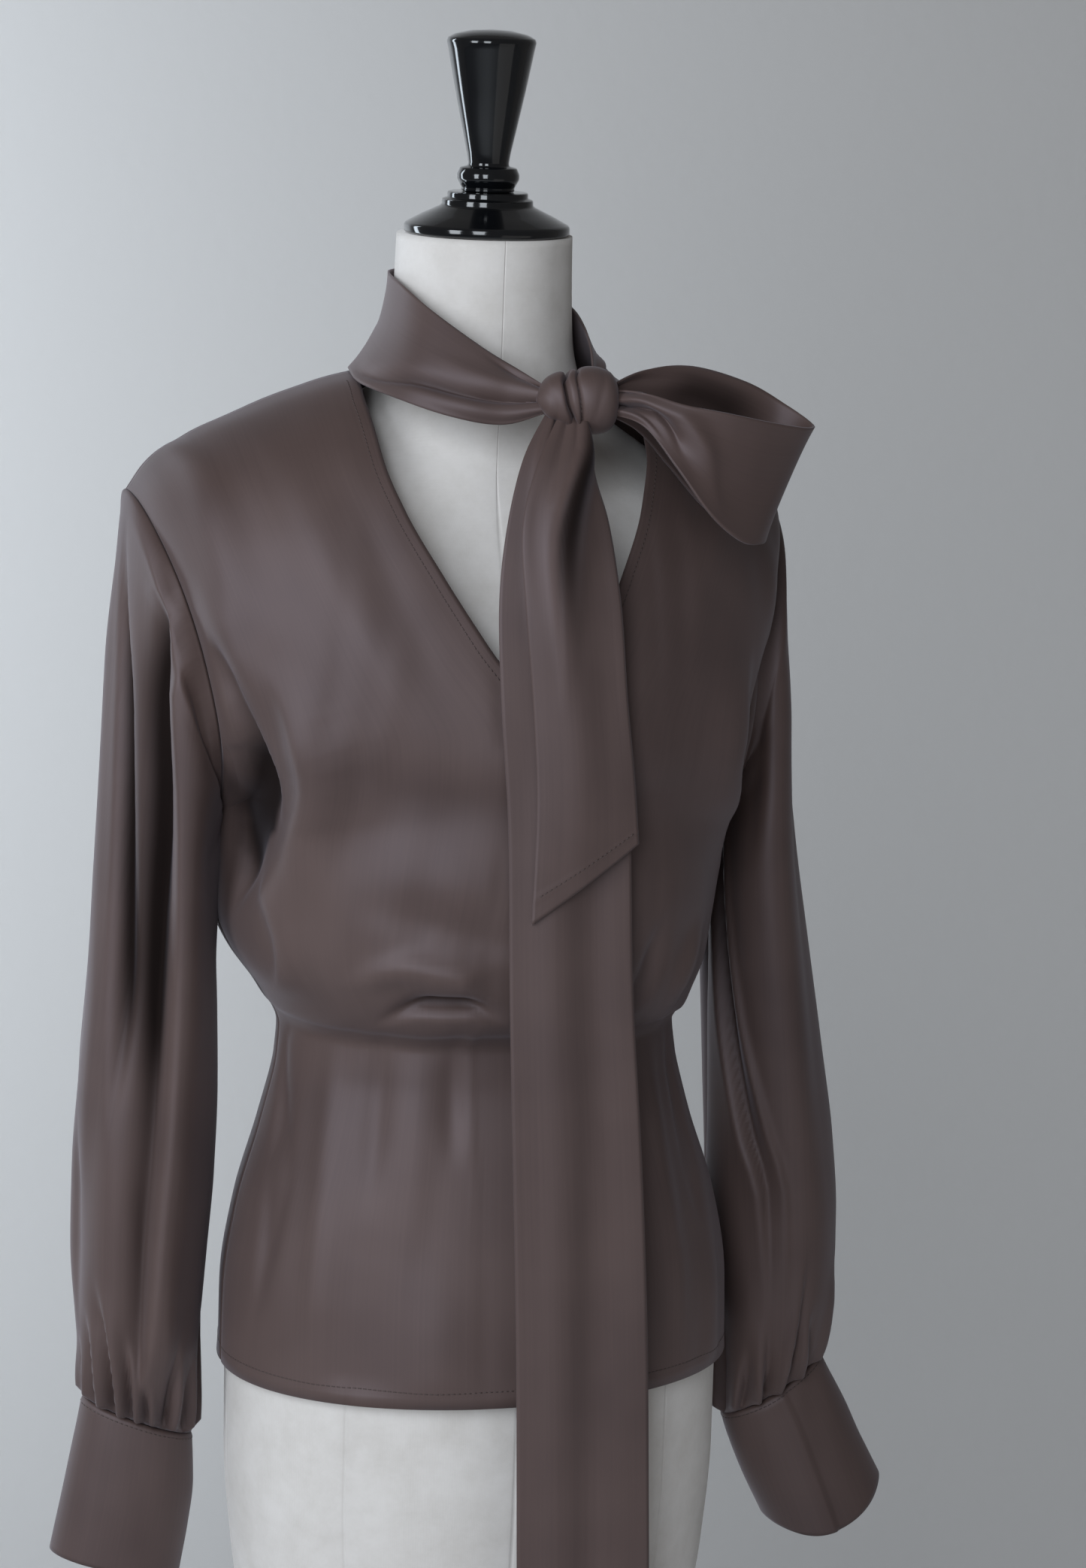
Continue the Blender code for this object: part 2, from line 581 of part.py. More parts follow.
def head_ring(side, out):
    """A ring of the sleeve's head: the armhole, moved outwards most at the front and back."""
    points = []
    for angle in ring_angles():
        forward = angle <= 180
        point = settle(armhole(angle if forward else 360 - angle, side, forward))
        share = HEAD_TIP_SHARE + (1 - HEAD_TIP_SHARE) * abs(math.sin(math.radians(angle)))
        point.x += side * (HEAD_GAP + out * share)
        points.append(point)
    return points


def tube_axis(rings):
    """Direction away from the nearest ring's middle."""
    middles = [sum(ring, Vector()) / len(ring) for ring in rings]

    def outward(point):
        nearest = min(middles, key=lambda middle: (middle - point).length)
        return point - nearest
    return outward


def make_tube(name, rings, collection):
    mesh = grid_mesh(name, rings, closed_round=True)
    weld_and_face_out(mesh, tube_axis(rings))
    made = new_object(name, mesh, "satin", collection)
    thicken(made, CLOTH, -1.0)
    return made


def make_sleeve(name, table, side, collection):
    rings = [head_ring(side, 0.0), head_ring(side, HEAD_OUT)]
    rings += [tilted_ring(row, side) for row in table]
    return make_tube(name, rings, collection)


def make_cuff(name, table, side, drop, collection):
    last = len(table) - 1
    rings = [tilted_ring(row, side, drop * (k / last) ** 2) for k, row in enumerate(table)]
    return make_tube(name, rings, collection)


# ---------------------------------------------------------------- the tie
def strip_rows(table, steps, across, sewn=()):
    """Rows of points across a strip of cloth, station by station along it."""
    columns = [column(table, STRIP_COLUMNS, name) for name in STRIP_COLUMNS]
    count = (len(table) - 1) * steps
    stations = []
    for k in range(count + 1):
        x_low, y_low, z_low, x_high, y_high, z_high, swell = [
            loose_value(values, k / steps) for values in columns]
        low = Vector((x_low, y_low, z_low))
        sewn_share = max(0.0, 1.0 - max(sewn[0] - k / steps, k / steps - sewn[-1], 0.0)) if sewn else 0.0
        low = low.lerp(settle(low), sewn_share)
        stations.append((low, Vector((x_high, y_high, z_high)), swell))
    rows = []
    for k, (low, high, swell) in enumerate(stations):
        before = stations[max(k - 1, 0)]
        after = stations[min(k + 1, count)]
        along = (after[0] + after[1]) - (before[0] + before[1])
        normal = along.cross(high - low).normalized()
        row = []
        for j in range(across + 1):
            share = j / across
            row.append(low.lerp(high, share) + normal * swell * 4 * share * (1 - share))
        rows.append(row)
    return rows


def make_strip(name, table, steps, across, collection, sewn=()):
    mesh = grid_mesh(name, strip_rows(table, steps, across, sewn))
    made = new_object(name, mesh, "satin", collection)
    thicken(made, TIE_WALL, 0.0)
    return made


def make_knot(collection):
    work = bmesh.new()
    bmesh.ops.create_uvsphere(work, u_segments=18, v_segments=10, radius=1.0,
                              matrix=Matrix.Rotation(math.pi / 2, 4, "Y"))
    for vert in work.verts:
        x = vert.co.x * KNOT_HALF.x
        away = (x - KNOT_GROOVE_X) / KNOT_GROOVE_WIDTH
        pinch = 1.0 - KNOT_GROOVE_DEPTH * math.exp(-away * away)
        vert.co = Vector((x, vert.co.y * KNOT_HALF.y * pinch, vert.co.z * KNOT_HALF.z * pinch))
        vert.co += KNOT_CENTRE
    mesh = bpy.data.meshes.new("tie_knot")
    work.to_mesh(mesh)
    work.free()
    made = new_object("tie_knot", mesh, "satin", collection)
    return made


# ---------------------------------------------------------------- the dress form
def form_ring(row):
    height, half_width, y_front, y_widest, y_back, square = row
    power = 2.0 / square
    points = []
    for k in range(FORM_SEGMENTS):
        turn = 2 * math.pi * k / FORM_SEGMENTS
        cos_part, sin_part = math.cos(turn), math.sin(turn)
        x = half_width * math.copysign(abs(cos_part) ** power, cos_part)
        reach = y_back - y_widest if sin_part >= 0 else y_widest - y_front
        y = y_widest + reach * math.copysign(abs(sin_part) ** power, sin_part)
        points.append(Vector((x + lean(height), y, height)))
    return points


def make_form(collection):
    rings = [form_ring(row) for row in FORM_ROWS]
    for point in rings[-1]:           # the top is cut along the cap's underside
        point.z -= (CAP_SEAT.y - point.y) * math.tan(NECK_TILT)
        point.z -= (point.x - CAP_SEAT.x) * math.tan(CAP_LEAN)
    mesh = grid_mesh("form_torso", rings, closed_round=True, caps=True)
    weld_and_face_out(mesh, from_axis)
    made = new_object("form_torso", mesh, "linen", collection)
    return made


def make_turned(name, profile, place, tilt, lean_over, material_name, collection):
    """A turned piece: its profile runs down the outer side and is screwed round Z."""
    work = bmesh.new()
    verts = [work.verts.new((radius, 0.0, height)) for radius, height in profile]
    for upper, lower in zip(verts, verts[1:]):
        work.edges.new((upper, lower))
    mesh = bpy.data.meshes.new(name)
    work.to_mesh(mesh)
    work.free()
    made = new_object(name, mesh, material_name, collection)
    made.location = place
    made.rotation_euler = (tilt, lean_over, 0.0)
    turn = made.modifiers.new("turn", "SCREW")
    turn.axis = "Z"
    turn.steps = TURNED_STEPS
    turn.render_steps = TURNED_STEPS
    turn.use_merge_vertices = True
    turn.merge_threshold = 0.00001
    turn.use_smooth_shade = True
    return made


def make_pole(collection):
    foot = BASE_HEIGHT + SEAM_GAP
    head = FORM_BOTTOM - SEAM_GAP
    profile = ((0.0, head), (POLE_RADIUS, head), (POLE_RADIUS, foot + 0.030),
               (POLE_RADIUS + 0.012, foot + 0.012), (POLE_RADIUS + 0.014, foot), (0.0, foot))
    return make_turned("stand_pole", profile, Vector(), 0.0, 0.0, "black_metal", collection)


def make_base(collection):
    edge = 0.004
    profile = ((0.0, BASE_HEIGHT), (BASE_RADIUS - 0.02, BASE_HEIGHT),
               (BASE_RADIUS - edge, BASE_HEIGHT - edge), (BASE_RADIUS, BASE_HEIGHT - 2 * edge),
               (BASE_RADIUS, 0.002), (BASE_RADIUS - 0.002, 0.0), (0.0, 0.0))
    return make_turned("stand_base", profile, Vector(), 0.0, 0.0, "black_metal", collection)


# ---------------------------------------------------------------- build
def build():
    clear_scene()
    collection = bpy.data.collections.new("blouse_on_dress_form")
    bpy.context.scene.collection.children.link(collection)
    make_panel("front", front_rows, collection)
    make_panel("back", back_rows, collection)
    make_sleeve("sleeve_right", RIGHT_SLEEVE, -1, collection)
    make_sleeve("sleeve_left", LEFT_SLEEVE, 1, collection)
    make_cuff("cuff_right", RIGHT_CUFF, -1, 0.0, collection)
    make_cuff("cuff_left", LEFT_CUFF, 1, LEFT_CUFF_DROP, collection)
    make_strip("neck_band", NECK_BAND, BAND_STEPS, BAND_ACROSS, collection, SEWN_STATIONS)
    make_knot(collection)
    make_strip("tie_loop", LOOP, LOOP_STEPS, LOOP_ACROSS, collection)
    make_strip("tie_short_end", SHORT_END, END_STEPS, END_ACROSS, collection)
    make_strip("tie_long_end", LONG_END, END_STEPS, END_ACROSS, collection)
    make_form(collection)
    make_turned("neck_cap", CAP_PROFILE, CAP_SEAT, NECK_TILT, CAP_LEAN, "black_gloss", collection)
    make_turned("finial", FINIAL_PROFILE, CAP_SEAT, NECK_TILT, CAP_LEAN, "black_gloss", collection)
    make_pole(collection)
    make_base(collection)


build()
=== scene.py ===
import math

import bmesh
import bpy
import numpy as np
from mathutils import Matrix, Vector
from mathutils.bvhtree import BVHTree


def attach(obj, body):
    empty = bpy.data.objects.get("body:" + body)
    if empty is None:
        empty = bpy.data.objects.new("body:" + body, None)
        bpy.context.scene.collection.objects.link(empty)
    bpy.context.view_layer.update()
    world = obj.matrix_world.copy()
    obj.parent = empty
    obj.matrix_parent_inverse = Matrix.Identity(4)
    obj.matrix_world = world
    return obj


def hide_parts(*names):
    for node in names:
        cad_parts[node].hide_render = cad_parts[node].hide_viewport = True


# A satin blouse with a tie neck on a linen dress form. Metres, +Z up, the wearer faces -Y.
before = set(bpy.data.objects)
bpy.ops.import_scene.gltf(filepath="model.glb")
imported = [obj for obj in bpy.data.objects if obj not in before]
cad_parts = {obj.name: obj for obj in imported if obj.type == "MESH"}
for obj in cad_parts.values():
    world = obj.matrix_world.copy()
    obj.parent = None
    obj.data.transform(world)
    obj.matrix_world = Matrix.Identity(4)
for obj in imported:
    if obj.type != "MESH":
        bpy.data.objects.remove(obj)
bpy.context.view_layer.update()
print("frame loaded")


# tables are written in millimetres

mm = 0.001


def metres(table, kept=()):
    # the table in metres; the kept columns are degrees or plain numbers
    table = np.array(table, dtype=float)
    scale = np.full(table.shape[1], mm)
    scale[list(kept)] = 1.0
    return table * scale


# curves through short tables

def gentleSlopes(spans, values):
    # slopes at the keys that never let the curve swing past its values
    slopes = np.diff(values, axis=0) / spans
    tangents = np.zeros_like(values)
    tangents[0], tangents[-1] = slopes[0], slopes[-1]
    heavy, light = 2 * spans[1:] + spans[:-1], spans[1:] + 2 * spans[:-1]
    same = slopes[:-1] * slopes[1:] > 0
    lower, upper = np.where(same, slopes[:-1], 1), np.where(same, slopes[1:], 1)
    tangents[1:-1] = np.where(same, (heavy + light) / (heavy / lower + light / upper), 0)
    return tangents


def betweenKeys(keys, at):
    # which span each place falls in, and how far along it
    i = np.clip(np.searchsorted(keys, at, side="right") - 1, 0, len(keys) - 2)
    return i, (at - keys[i]) / (keys[i + 1] - keys[i])


def alongSpan(t, span, low, high, lowSlope, highSlope):
    return ((2 * t ** 3 - 3 * t ** 2 + 1) * low + (t ** 3 - 2 * t ** 2 + t) * span * lowSlope
            + (3 * t ** 2 - 2 * t ** 3) * high + (t ** 3 - t ** 2) * span * highSlope)


def gentleCurve(keys, values, at):
    keys, values, at = (np.asarray(part, dtype=float) for part in (keys, values, at))
    spans = np.diff(keys)
    tangents = gentleSlopes(spans, values)
    i, t = betweenKeys(keys, at)
    return alongSpan(t, spans[i], values[i], values[i + 1], tangents[i], tangents[i + 1])


def throughRings(keys, rings, at):
    # the same curve through a stack of rings, at every point of the ring at once
    spans = np.diff(keys)[:, None, None]
    tangents = gentleSlopes(spans, rings)
    i, t = betweenKeys(keys, at)
    j = np.arange(len(at))
    low, high = (i, j), (i + 1, j)
    return alongSpan(t[:, None], spans[i, 0], rings[low], rings[high], tangents[low], tangents[high])


def columnsAt(keys, table, at):
    return [gentleCurve(keys, column, at) for column in table.T]


def looseCurve(values, at):
    # rounder, through evenly spaced values
    values, at = np.asarray(values, dtype=float), np.asarray(at, dtype=float)
    last = len(values) - 1
    padded = np.concatenate(([2 * values[0] - values[1]], values, [2 * values[-1] - values[-2]]))
    i = np.clip(at.astype(int), 0, last - 1)
    t = at - i
    before, here, there, after = padded[i], padded[i + 1], padded[i + 2], padded[i + 3]
    return 0.5 * (2 * here + (there - before) * t + (2 * before - 5 * here + 4 * there - after) * t ** 2
                  + (3 * here - before - 3 * there + after) * t ** 3)


def ease(low, high, value):
    share = np.clip((value - low) / (high - low), 0, 1)
    return share * share * (3 - 2 * share)


def bump(distance, width):
    return np.exp(-(distance / width) ** 2)


# folds drawn one by one: each runs along a line laid on the piece and fades over a share or a length at its
# ends

foldCut = {
    "endShare": 0.42, "endLength": 0.125, "endWidth": 0.6, "steps": 22, "blur": 0.0022, "turnOver": 0.35,
}


def laidLine(line, places, points):
    # where the line's places lie on the piece, from the piece's own points round each of them
    lengths = np.concatenate(([0], np.cumsum(np.linalg.norm(np.diff(line, axis=0), axis=1))))
    steps = np.linspace(0, lengths[-1], foldCut["steps"])
    laid = []
    for place in np.stack(columnsAt(lengths, line, steps), axis=1):
        away = np.sum((places - place) ** 2, axis=1)
        weight = np.exp(-(away - away.min()) / foldCut["blur"] ** 2)
        laid.append(weight @ points / weight.sum())
    return np.array(laid)


def layFolds(folds, places, points):
    # each fold: line, width on its left, width on its right, height; sides as seen walking along it outside
    return [(laidLine(mm * np.array(line), places, points), left * mm, right * mm, height * mm)
            for line, left, right, height in folds]


def foldHeight(laidFolds, points, normals):
    total = np.zeros(len(points))
    for laid, leftWidth, rightWidth, height in laidFolds:
        length = np.sum(np.linalg.norm(np.diff(laid, axis=0), axis=1))
        fadeShare = min(foldCut["endShare"], foldCut["endLength"] / length)
        nearest, side, share = np.full(len(points), 1e9), np.zeros(len(points)), np.zeros(len(points))
        for k in range(len(laid) - 1):
            start, run = laid[k], laid[k + 1] - laid[k]
            size = max(np.linalg.norm(run), 1e-6)
            part = np.clip((points - start) @ run / size ** 2, 0, 1)
            away = points - start - part[:, None] * run
            distance = np.linalg.norm(away, axis=1)
            closer = distance < nearest
            nearest = np.where(closer, distance, nearest)
            side = np.where(closer, np.sum(np.cross(normals, run / size) * away, axis=1), side)
            share = np.where(closer, (k + part) / (len(laid) - 1), share)
        fade = ease(0, fadeShare, share) * ease(0, fadeShare, 1 - share)
        blend = 0.5 + 0.5 * np.tanh(side / (foldCut["turnOver"] * min(leftWidth, rightWidth)))
        wide = rightWidth + (leftWidth - rightWidth) * blend
        wide = wide * (foldCut["endWidth"] + (1 - foldCut["endWidth"]) * fade)
        total += height * fade * bump(nearest, wide)
    return total


drift = {
    "height": 0.00045, "across": 150.0, "slant": 0.6, "along": 21.0, "wander": 1.7,
    "second": 0.7, "secondAcross": 64.5, "secondSlant": -0.8, "secondWander": -1.4,
    "curl": 3.1, "curlAcross": 31.0, "patches": 0.4, "patchesAlong": 13.0, "patchesAcross": 17.0,
}


def softDrift(points):
    # the small unevenness that hanging satin has everywhere
    x, y, z = points.T
    sway = drift["wander"] * np.sin(drift["along"] * z + drift["curl"] * np.sin(drift["curlAcross"] * x))
    first = np.sin(drift["across"] * (x + drift["slant"] * y) + sway)
    second = np.sin(drift["secondAcross"] * (x + drift["secondSlant"] * y) + drift["secondWander"] * sway)
    weaker = drift["patches"] * (1 - np.sin(drift["patchesAlong"] * z + drift["patchesAcross"] * x))
    return drift["height"] * (first + drift["second"] * second) * (1 - weaker)


# making pieces

def normalsOf(place, u, v, step=0.0012):
    # the surface's own normals, from its slopes both ways
    low = np.clip(u - step, 0, 1), np.clip(v - step, 0, 1)
    high = np.clip(u + step, 0, 1), np.clip(v + step, 0, 1)
    across = place(high[0], v) - place(low[0], v)
    along = place(u, high[1]) - place(u, low[1])
    normal = np.cross(across, along)
    return normal / np.maximum(np.linalg.norm(normal, axis=1, keepdims=True), 1e-12)


def evened(points, flat, columns, rows, band):
    # rounds off the kink along one row of the grid, less so next to its sewn side
    order = np.lexsort((flat[:, 0], flat[:, 1]))
    grid = points[order].reshape(rows + 1, columns + 1, 3)
    share = np.linspace(0, 1, columns + 1)
    free = ease(0, band["held"], share if band["sewn"] == 0 else 1 - share)[None, :, None]
    weight = 0.5 * free * bump(np.linspace(0, 1, rows + 1)[1:-1] - band["row"], band["width"])[:, None, None]
    for _ in range(band["rounds"]):
        grid[1:-1] += weight * ((grid[:-2] + grid[2:]) / 2 - grid[1:-1])
    points = points.copy()
    points[order] = grid.reshape(-1, 3)
    return points


def laidGrid(work, columns, rows, place, height=None, size=(1.0, 1.0), band=None):
    # adds a flat grid to the bmesh, lays it where place(u, v) says and lifts it by height(u, v, points,
    # normals), which may also say how deep in a fold each point lies; that depth is kept for the painted
    # shade in the satin
    depth = work.verts.layers.float.get("depthForPaintedShade") or work.verts.layers.float.new("depthForPaintedShade")
    before = set(work.verts)
    bmesh.ops.create_grid(work, x_segments=columns, y_segments=rows, size=0.5, calc_uvs=False)
    verts = [vert for vert in work.verts if vert not in before]
    flat = np.array([vert.co[:2] for vert in verts]) + 0.5
    u, v = flat[:, 0], flat[:, 1]
    points = place(u, v)
    deep = np.zeros(len(u))
    if height is not None:
        normals = normalsOf(place, u, v)
        lift = height(u, v, points, normals)
        # without a depth of its own, the sunken part of the lift is what gets painted as shade
        lift, deep = lift if isinstance(lift, tuple) else (lift, -lift)
        points = points + normals * lift[:, None]
    if band:
        points = evened(points, flat, columns, rows, band)
    layer = work.loops.layers.uv.verify()
    for vert, at, point, sunk in zip(verts, flat, points, deep):
        for loop in vert.link_loops:
            loop[layer].uv = (at[0] * size[0], at[1] * size[1])
        vert.co = point
        # painted shade: how deep the point lies in a fold, which darkens the satin there
        vert[depth] = max(0.0, sunk)
    return verts


def finishPiece(name, node, work, material, wall=0.0, offset=-1.0):
    mesh = bpy.data.meshes.new(name)
    work.to_mesh(mesh)
    work.free()
    mesh.shade_smooth()
    mesh.materials.append(material)
    piece = bpy.data.objects.new(name, mesh)
    bpy.context.scene.collection.objects.link(piece)
    if wall:
        shell = piece.modifiers.new("wall", "SOLIDIFY")
        shell.thickness = wall
        shell.offset = offset
    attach(piece, "root")
    if node:
        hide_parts(node)
    return piece


# materials

def newMaterial(name, shader):
    material = bpy.data.materials.new(name)
    material.use_nodes = True
    nodes = material.node_tree.nodes
    principled = nodes["Principled BSDF"]
    for socket, value in shader.items():
        principled.inputs[socket].default_value = value
    return material, nodes, material.node_tree.links, principled


def addNode(nodes, kind, values=None, **settings):
    node = nodes.new(kind)
    for key, value in settings.items():
        setattr(node, key, value)
    for socket, value in (values or {}).items():
        node.inputs[socket].default_value = value
    return node


def addNoise(nodes, scale, detail, roughness=0.5):
    return addNode(nodes, "ShaderNodeTexNoise", {"Scale": scale, "Detail": detail, "Roughness": roughness})


def addTones(nodes, tones):
    ramp = addNode(nodes, "ShaderNodeValToRGB")
    places = tones.get("between", (0.0, 1.0))
    for stop, tone, place in zip(ramp.color_ramp.elements, ("deep", "light"), places):
        stop.position = place
        stop.color = tones[tone]
    return ramp


def wire(links, *joins):
    # each join: a node, its output, the next node, its input
    for source, output, target, socket in joins:
        links.new(source.outputs[output], target.inputs[socket])


satinLook = {
    "Roughness": 0.58, "Specular IOR Level": 0.61, "Sheen Weight": 0.14, "Sheen Roughness": 0.45,
    "Sheen Tint": (0.80, 0.74, 0.84, 1.0), "Specular Tint": (0.97, 0.89, 1.0, 1.0), "Anisotropic": 0.35,
}
satinColours = {
    "deep": (0.060, 0.0375, 0.0320, 1.0), "light": (0.090, 0.0585, 0.0500, 1.0), "between": (0.42, 0.80),
}
satinThreads = {
    "scale": (1100.0, 30.0, 1.0), "noise": (1.0, 2.0, 0.6), "relief": {"Strength": 0.22, "Distance": 0.00008},
    "streakScale": (520.0, 6.0, 1.0), "streaks": (1.0, 3.0, 0.6), "streakShare": 0.26,
    "cloud": (7.0, 3.0, 0.55),
}
satinRoughness = {"To Min": 0.54, "To Max": 0.62}
# metres of fold depth over which painted shade darkens the cloth, and the share of colour and shine left in
# the deepest
satinPaintedShade = {"from": 0.0015, "to": 0.0110, "colourLeft": 0.13, "shineLeft": 0.05}


# a range that lowers a value as the fold deepens, for the painted shade
def paintShadeInFolds(nodes, full, left):
    sizes = {
        "From Min": satinPaintedShade["from"], "From Max": satinPaintedShade["to"], "To Min": full, "To Max": full * left,
    }
    return addNode(nodes, "ShaderNodeMapRange", sizes, interpolation_type="SMOOTHSTEP")


def makeSatin():
    # soft warp-faced satin: fine upright threads, faint streaks, and painted shade that darkens its colour
    # and dims its shine inside the folds
    material, nodes, links, shader = newMaterial("satinCloth", satinLook)
    place = addNode(nodes, "ShaderNodeTexCoord")
    cloud = addNoise(nodes, *satinThreads["cloud"])
    streakMap = addNode(nodes, "ShaderNodeMapping", {"Scale": satinThreads["streakScale"]})
    streaks = addNoise(nodes, *satinThreads["streaks"])
    blend = addNode(nodes, "ShaderNodeMath", {1: satinThreads["streakShare"]}, operation="MULTIPLY_ADD")
    tones = addTones(nodes, satinColours)
    threadMap = addNode(nodes, "ShaderNodeMapping", {"Scale": satinThreads["scale"]})
    threads = addNoise(nodes, *satinThreads["noise"])
    relief = addNode(nodes, "ShaderNodeBump", satinThreads["relief"])
    rough = addNode(nodes, "ShaderNodeMapRange", satinRoughness)
    tangent = addNode(nodes, "ShaderNodeTangent", direction_type="UV_MAP")
    # painted shade: the fold depth stored on the cloth darkens the base colour and lowers the specular level
    depth = addNode(nodes, "ShaderNodeAttribute", attribute_name="depthForPaintedShade")
    colour = paintShadeInFolds(nodes, 1.0, satinPaintedShade["colourLeft"])
    shine = paintShadeInFolds(nodes, satinLook["Specular IOR Level"], satinPaintedShade["shineLeft"])
    shadePainted = addNode(nodes, "ShaderNodeVectorMath", operation="SCALE")
    wire(links,
         (place, "Object", cloud, "Vector"), (place, "UV", streakMap, "Vector"),
         (streakMap, "Vector", streaks, "Vector"), (streaks, "Fac", blend, 0), (cloud, "Fac", blend, 2),
         (blend, "Value", tones, "Fac"), (tones, "Color", shadePainted, 0), (depth, "Fac", colour, "Value"),
         (colour, "Result", shadePainted, "Scale"), (shadePainted, "Vector", shader, "Base Color"),
         (depth, "Fac", shine, "Value"), (shine, "Result", shader, "Specular IOR Level"),
         (place, "UV", threadMap, "Vector"), (threadMap, "Vector", threads, "Vector"),
         (threads, "Fac", relief, "Height"), (relief, "Normal", shader, "Normal"),
         (cloud, "Fac", rough, "Value"), (rough, "Result", shader, "Roughness"),
         (tangent, "Tangent", shader, "Tangent"))
    return material


linenLook = {"Roughness": 0.86, "Specular IOR Level": 0.25, "Sheen Weight": 0.15, "Sheen Roughness": 0.6}
linenColours = {
    "deep": (0.600, 0.566, 0.535, 1.0), "light": (0.710, 0.678, 0.655, 1.0), "between": (0.30, 0.72),
}
linenThreads = {"Distortion": 1.2, "Detail": 2.0, "Detail Scale": 0.4}
linenWeave = {
    "warp": 620.0, "weft": 560.0, "share": 0.22, "slubs": (30.0, 5.0, 0.7),
    "relief": {"Strength": 0.35, "Distance": 0.00015},
}


def makeLinen():
    material, nodes, links, shader = newMaterial("linenCover", linenLook)
    place = addNode(nodes, "ShaderNodeTexCoord")
    warp, weft = [addNode(nodes, "ShaderNodeTexWave", dict(linenThreads, Scale=linenWeave[way]),
                          bands_direction=axis) for way, axis in (("warp", "X"), ("weft", "Y"))]
    weave = addNode(nodes, "ShaderNodeMath", operation="MULTIPLY")
    slubs = addNoise(nodes, *linenWeave["slubs"])
    tones = addTones(nodes, linenColours)
    mix = addNode(nodes, "ShaderNodeMath", {1: linenWeave["share"]}, operation="MULTIPLY_ADD")
    relief = addNode(nodes, "ShaderNodeBump", linenWeave["relief"])
    wire(links,
         (place, "UV", warp, "Vector"), (warp, "Fac", weave, 0), (place, "UV", weft, "Vector"),
         (weft, "Fac", weave, 1), (place, "Object", slubs, "Vector"),
         (weave, "Value", mix, 0), (slubs, "Fac", mix, 2), (mix, "Value", tones, "Fac"),
         (tones, "Color", shader, "Base Color"), (weave, "Value", relief, "Height"),
         (relief, "Normal", shader, "Normal"))
    return material


lacquerLook = {"Roughness": 0.09, "Coat Weight": 0.4, "Coat Roughness": 0.05, "Specular IOR Level": 0.45}
lacquerColours = {"deep": (0.0014, 0.0017, 0.0024, 1.0), "light": (0.0032, 0.0038, 0.0052, 1.0)}
lacquerGrain = {"Scale": (60.0, 60.0, 8.0)}
lacquerNoise = (3.0, 4.0)
lacquerWear = {"To Min": 0.06, "To Max": 0.15}
lacquerRelief = {"Strength": 0.05, "Distance": 0.0002}


def makeLacquer():
    material, nodes, links, shader = newMaterial("blackLacquer", lacquerLook)
    place = addNode(nodes, "ShaderNodeTexCoord")
    grain = addNode(nodes, "ShaderNodeMapping", lacquerGrain)
    noise = addNoise(nodes, *lacquerNoise)
    tones = addTones(nodes, lacquerColours)
    wear = addNode(nodes, "ShaderNodeMapRange", lacquerWear)
    relief = addNode(nodes, "ShaderNodeBump", lacquerRelief)
    wire(links,
         (place, "Object", grain, "Vector"), (grain, "Vector", noise, "Vector"), (noise, "Fac", tones, "Fac"),
         (tones, "Color", shader, "Base Color"), (noise, "Fac", wear, "Value"),
         (wear, "Result", shader, "Roughness"), (noise, "Fac", relief, "Height"),
         (relief, "Normal", shader, "Normal"))
    return material


metalLook = {"Roughness": 0.38, "Metallic": 0.6, "Specular IOR Level": 0.5}
metalColours = {"deep": (0.010, 0.010, 0.011, 1.0), "light": (0.022, 0.022, 0.023, 1.0)}
metalNoise = {"grit": (900.0, 2.0), "cloud": (12.0, 3.0)}
metalRelief = {"Strength": 0.25, "Distance": 0.0001}


def makeStandMetal():
    material, nodes, links, shader = newMaterial("standMetal", metalLook)
    place = addNode(nodes, "ShaderNodeTexCoord")
    grit, cloud = [addNoise(nodes, *metalNoise[name]) for name in ("grit", "cloud")]
    tones = addTones(nodes, metalColours)
    relief = addNode(nodes, "ShaderNodeBump", metalRelief)
    wire(links,
         (place, "Object", grit, "Vector"), (place, "Object", cloud, "Vector"), (cloud, "Fac", tones, "Fac"),
         (tones, "Color", shader, "Base Color"), (grit, "Fac", relief, "Height"),
         (relief, "Normal", shader, "Normal"))
    return material


satin = makeSatin()
linen = makeLinen()
lacquer = makeLacquer()
standMetal = makeStandMetal()
print("materials made")


def finishCloth(name, work, cut, offset=-1.0):
    if "weld" in cut:
        bmesh.ops.remove_doubles(work, verts=work.verts, dist=cut["weld"])
    return finishPiece(name + "_cloth", name, work, satin, wall=cut["wall"], offset=offset)


# the blouse has settled on the form: it is turned a little and leans sideways by millimetres

settling = {
    "turn": math.radians(3.0), "turnFrom": 1.10, "turnTo": 1.26,
    "heights": (0.60, 1.06, 1.12, 1.20, 1.29, 1.39, 1.46, 1.56),
    "shifts": (0.002, 0.003, -0.0015, -0.0020, -0.0065, -0.0080, -0.0025, -0.0010),
}


def leanAt(height):
    low, high = settling["heights"][0], settling["heights"][-1]
    return gentleCurve(settling["heights"], settling["shifts"], np.clip(height, low, high))


def settle(points):
    turn = settling["turn"] * ease(settling["turnFrom"], settling["turnTo"], points[:, 2])
    x = points[:, 0] * np.cos(turn) - points[:, 1] * np.sin(turn)
    y = points[:, 0] * np.sin(turn) + points[:, 1] * np.cos(turn)
    return np.stack([x + leanAt(points[:, 2]), y, points[:, 2]], axis=1)


# the armhole that front, back and sleeves share

hole = {
    "tip": (0.204, 0.035, 1.388), "under": (0.162, 0.020, 1.195),
    "frontY": -0.045, "backY": 0.085, "frontBow": 0.0085, "backBow": 0.004,
}


def armhole(turn, side, forward):
    # turn in degrees from the shoulder tip; forward is 1 on the front and 0 on the back
    turn = np.radians(turn)
    tip, under = np.array(hole["tip"]), np.array(hole["under"])
    middle, reach = (tip + under) / 2, (tip - under) / 2
    edgeY = np.where(forward, hole["frontY"], hole["backY"])
    bow = np.where(forward, hole["frontBow"], hole["backBow"])
    x = side * (middle[0] + reach[0] * np.cos(turn) - bow * np.sin(turn) ** 2)
    y = middle[1] + reach[1] * np.cos(turn) + (edgeY - middle[1]) * np.sin(turn)
    return np.stack([x, y, middle[2] + reach[2] * np.cos(turn)], axis=1)


shoulderFall = {"slow": 1.3, "slowShare": 0.75, "fast": 12}


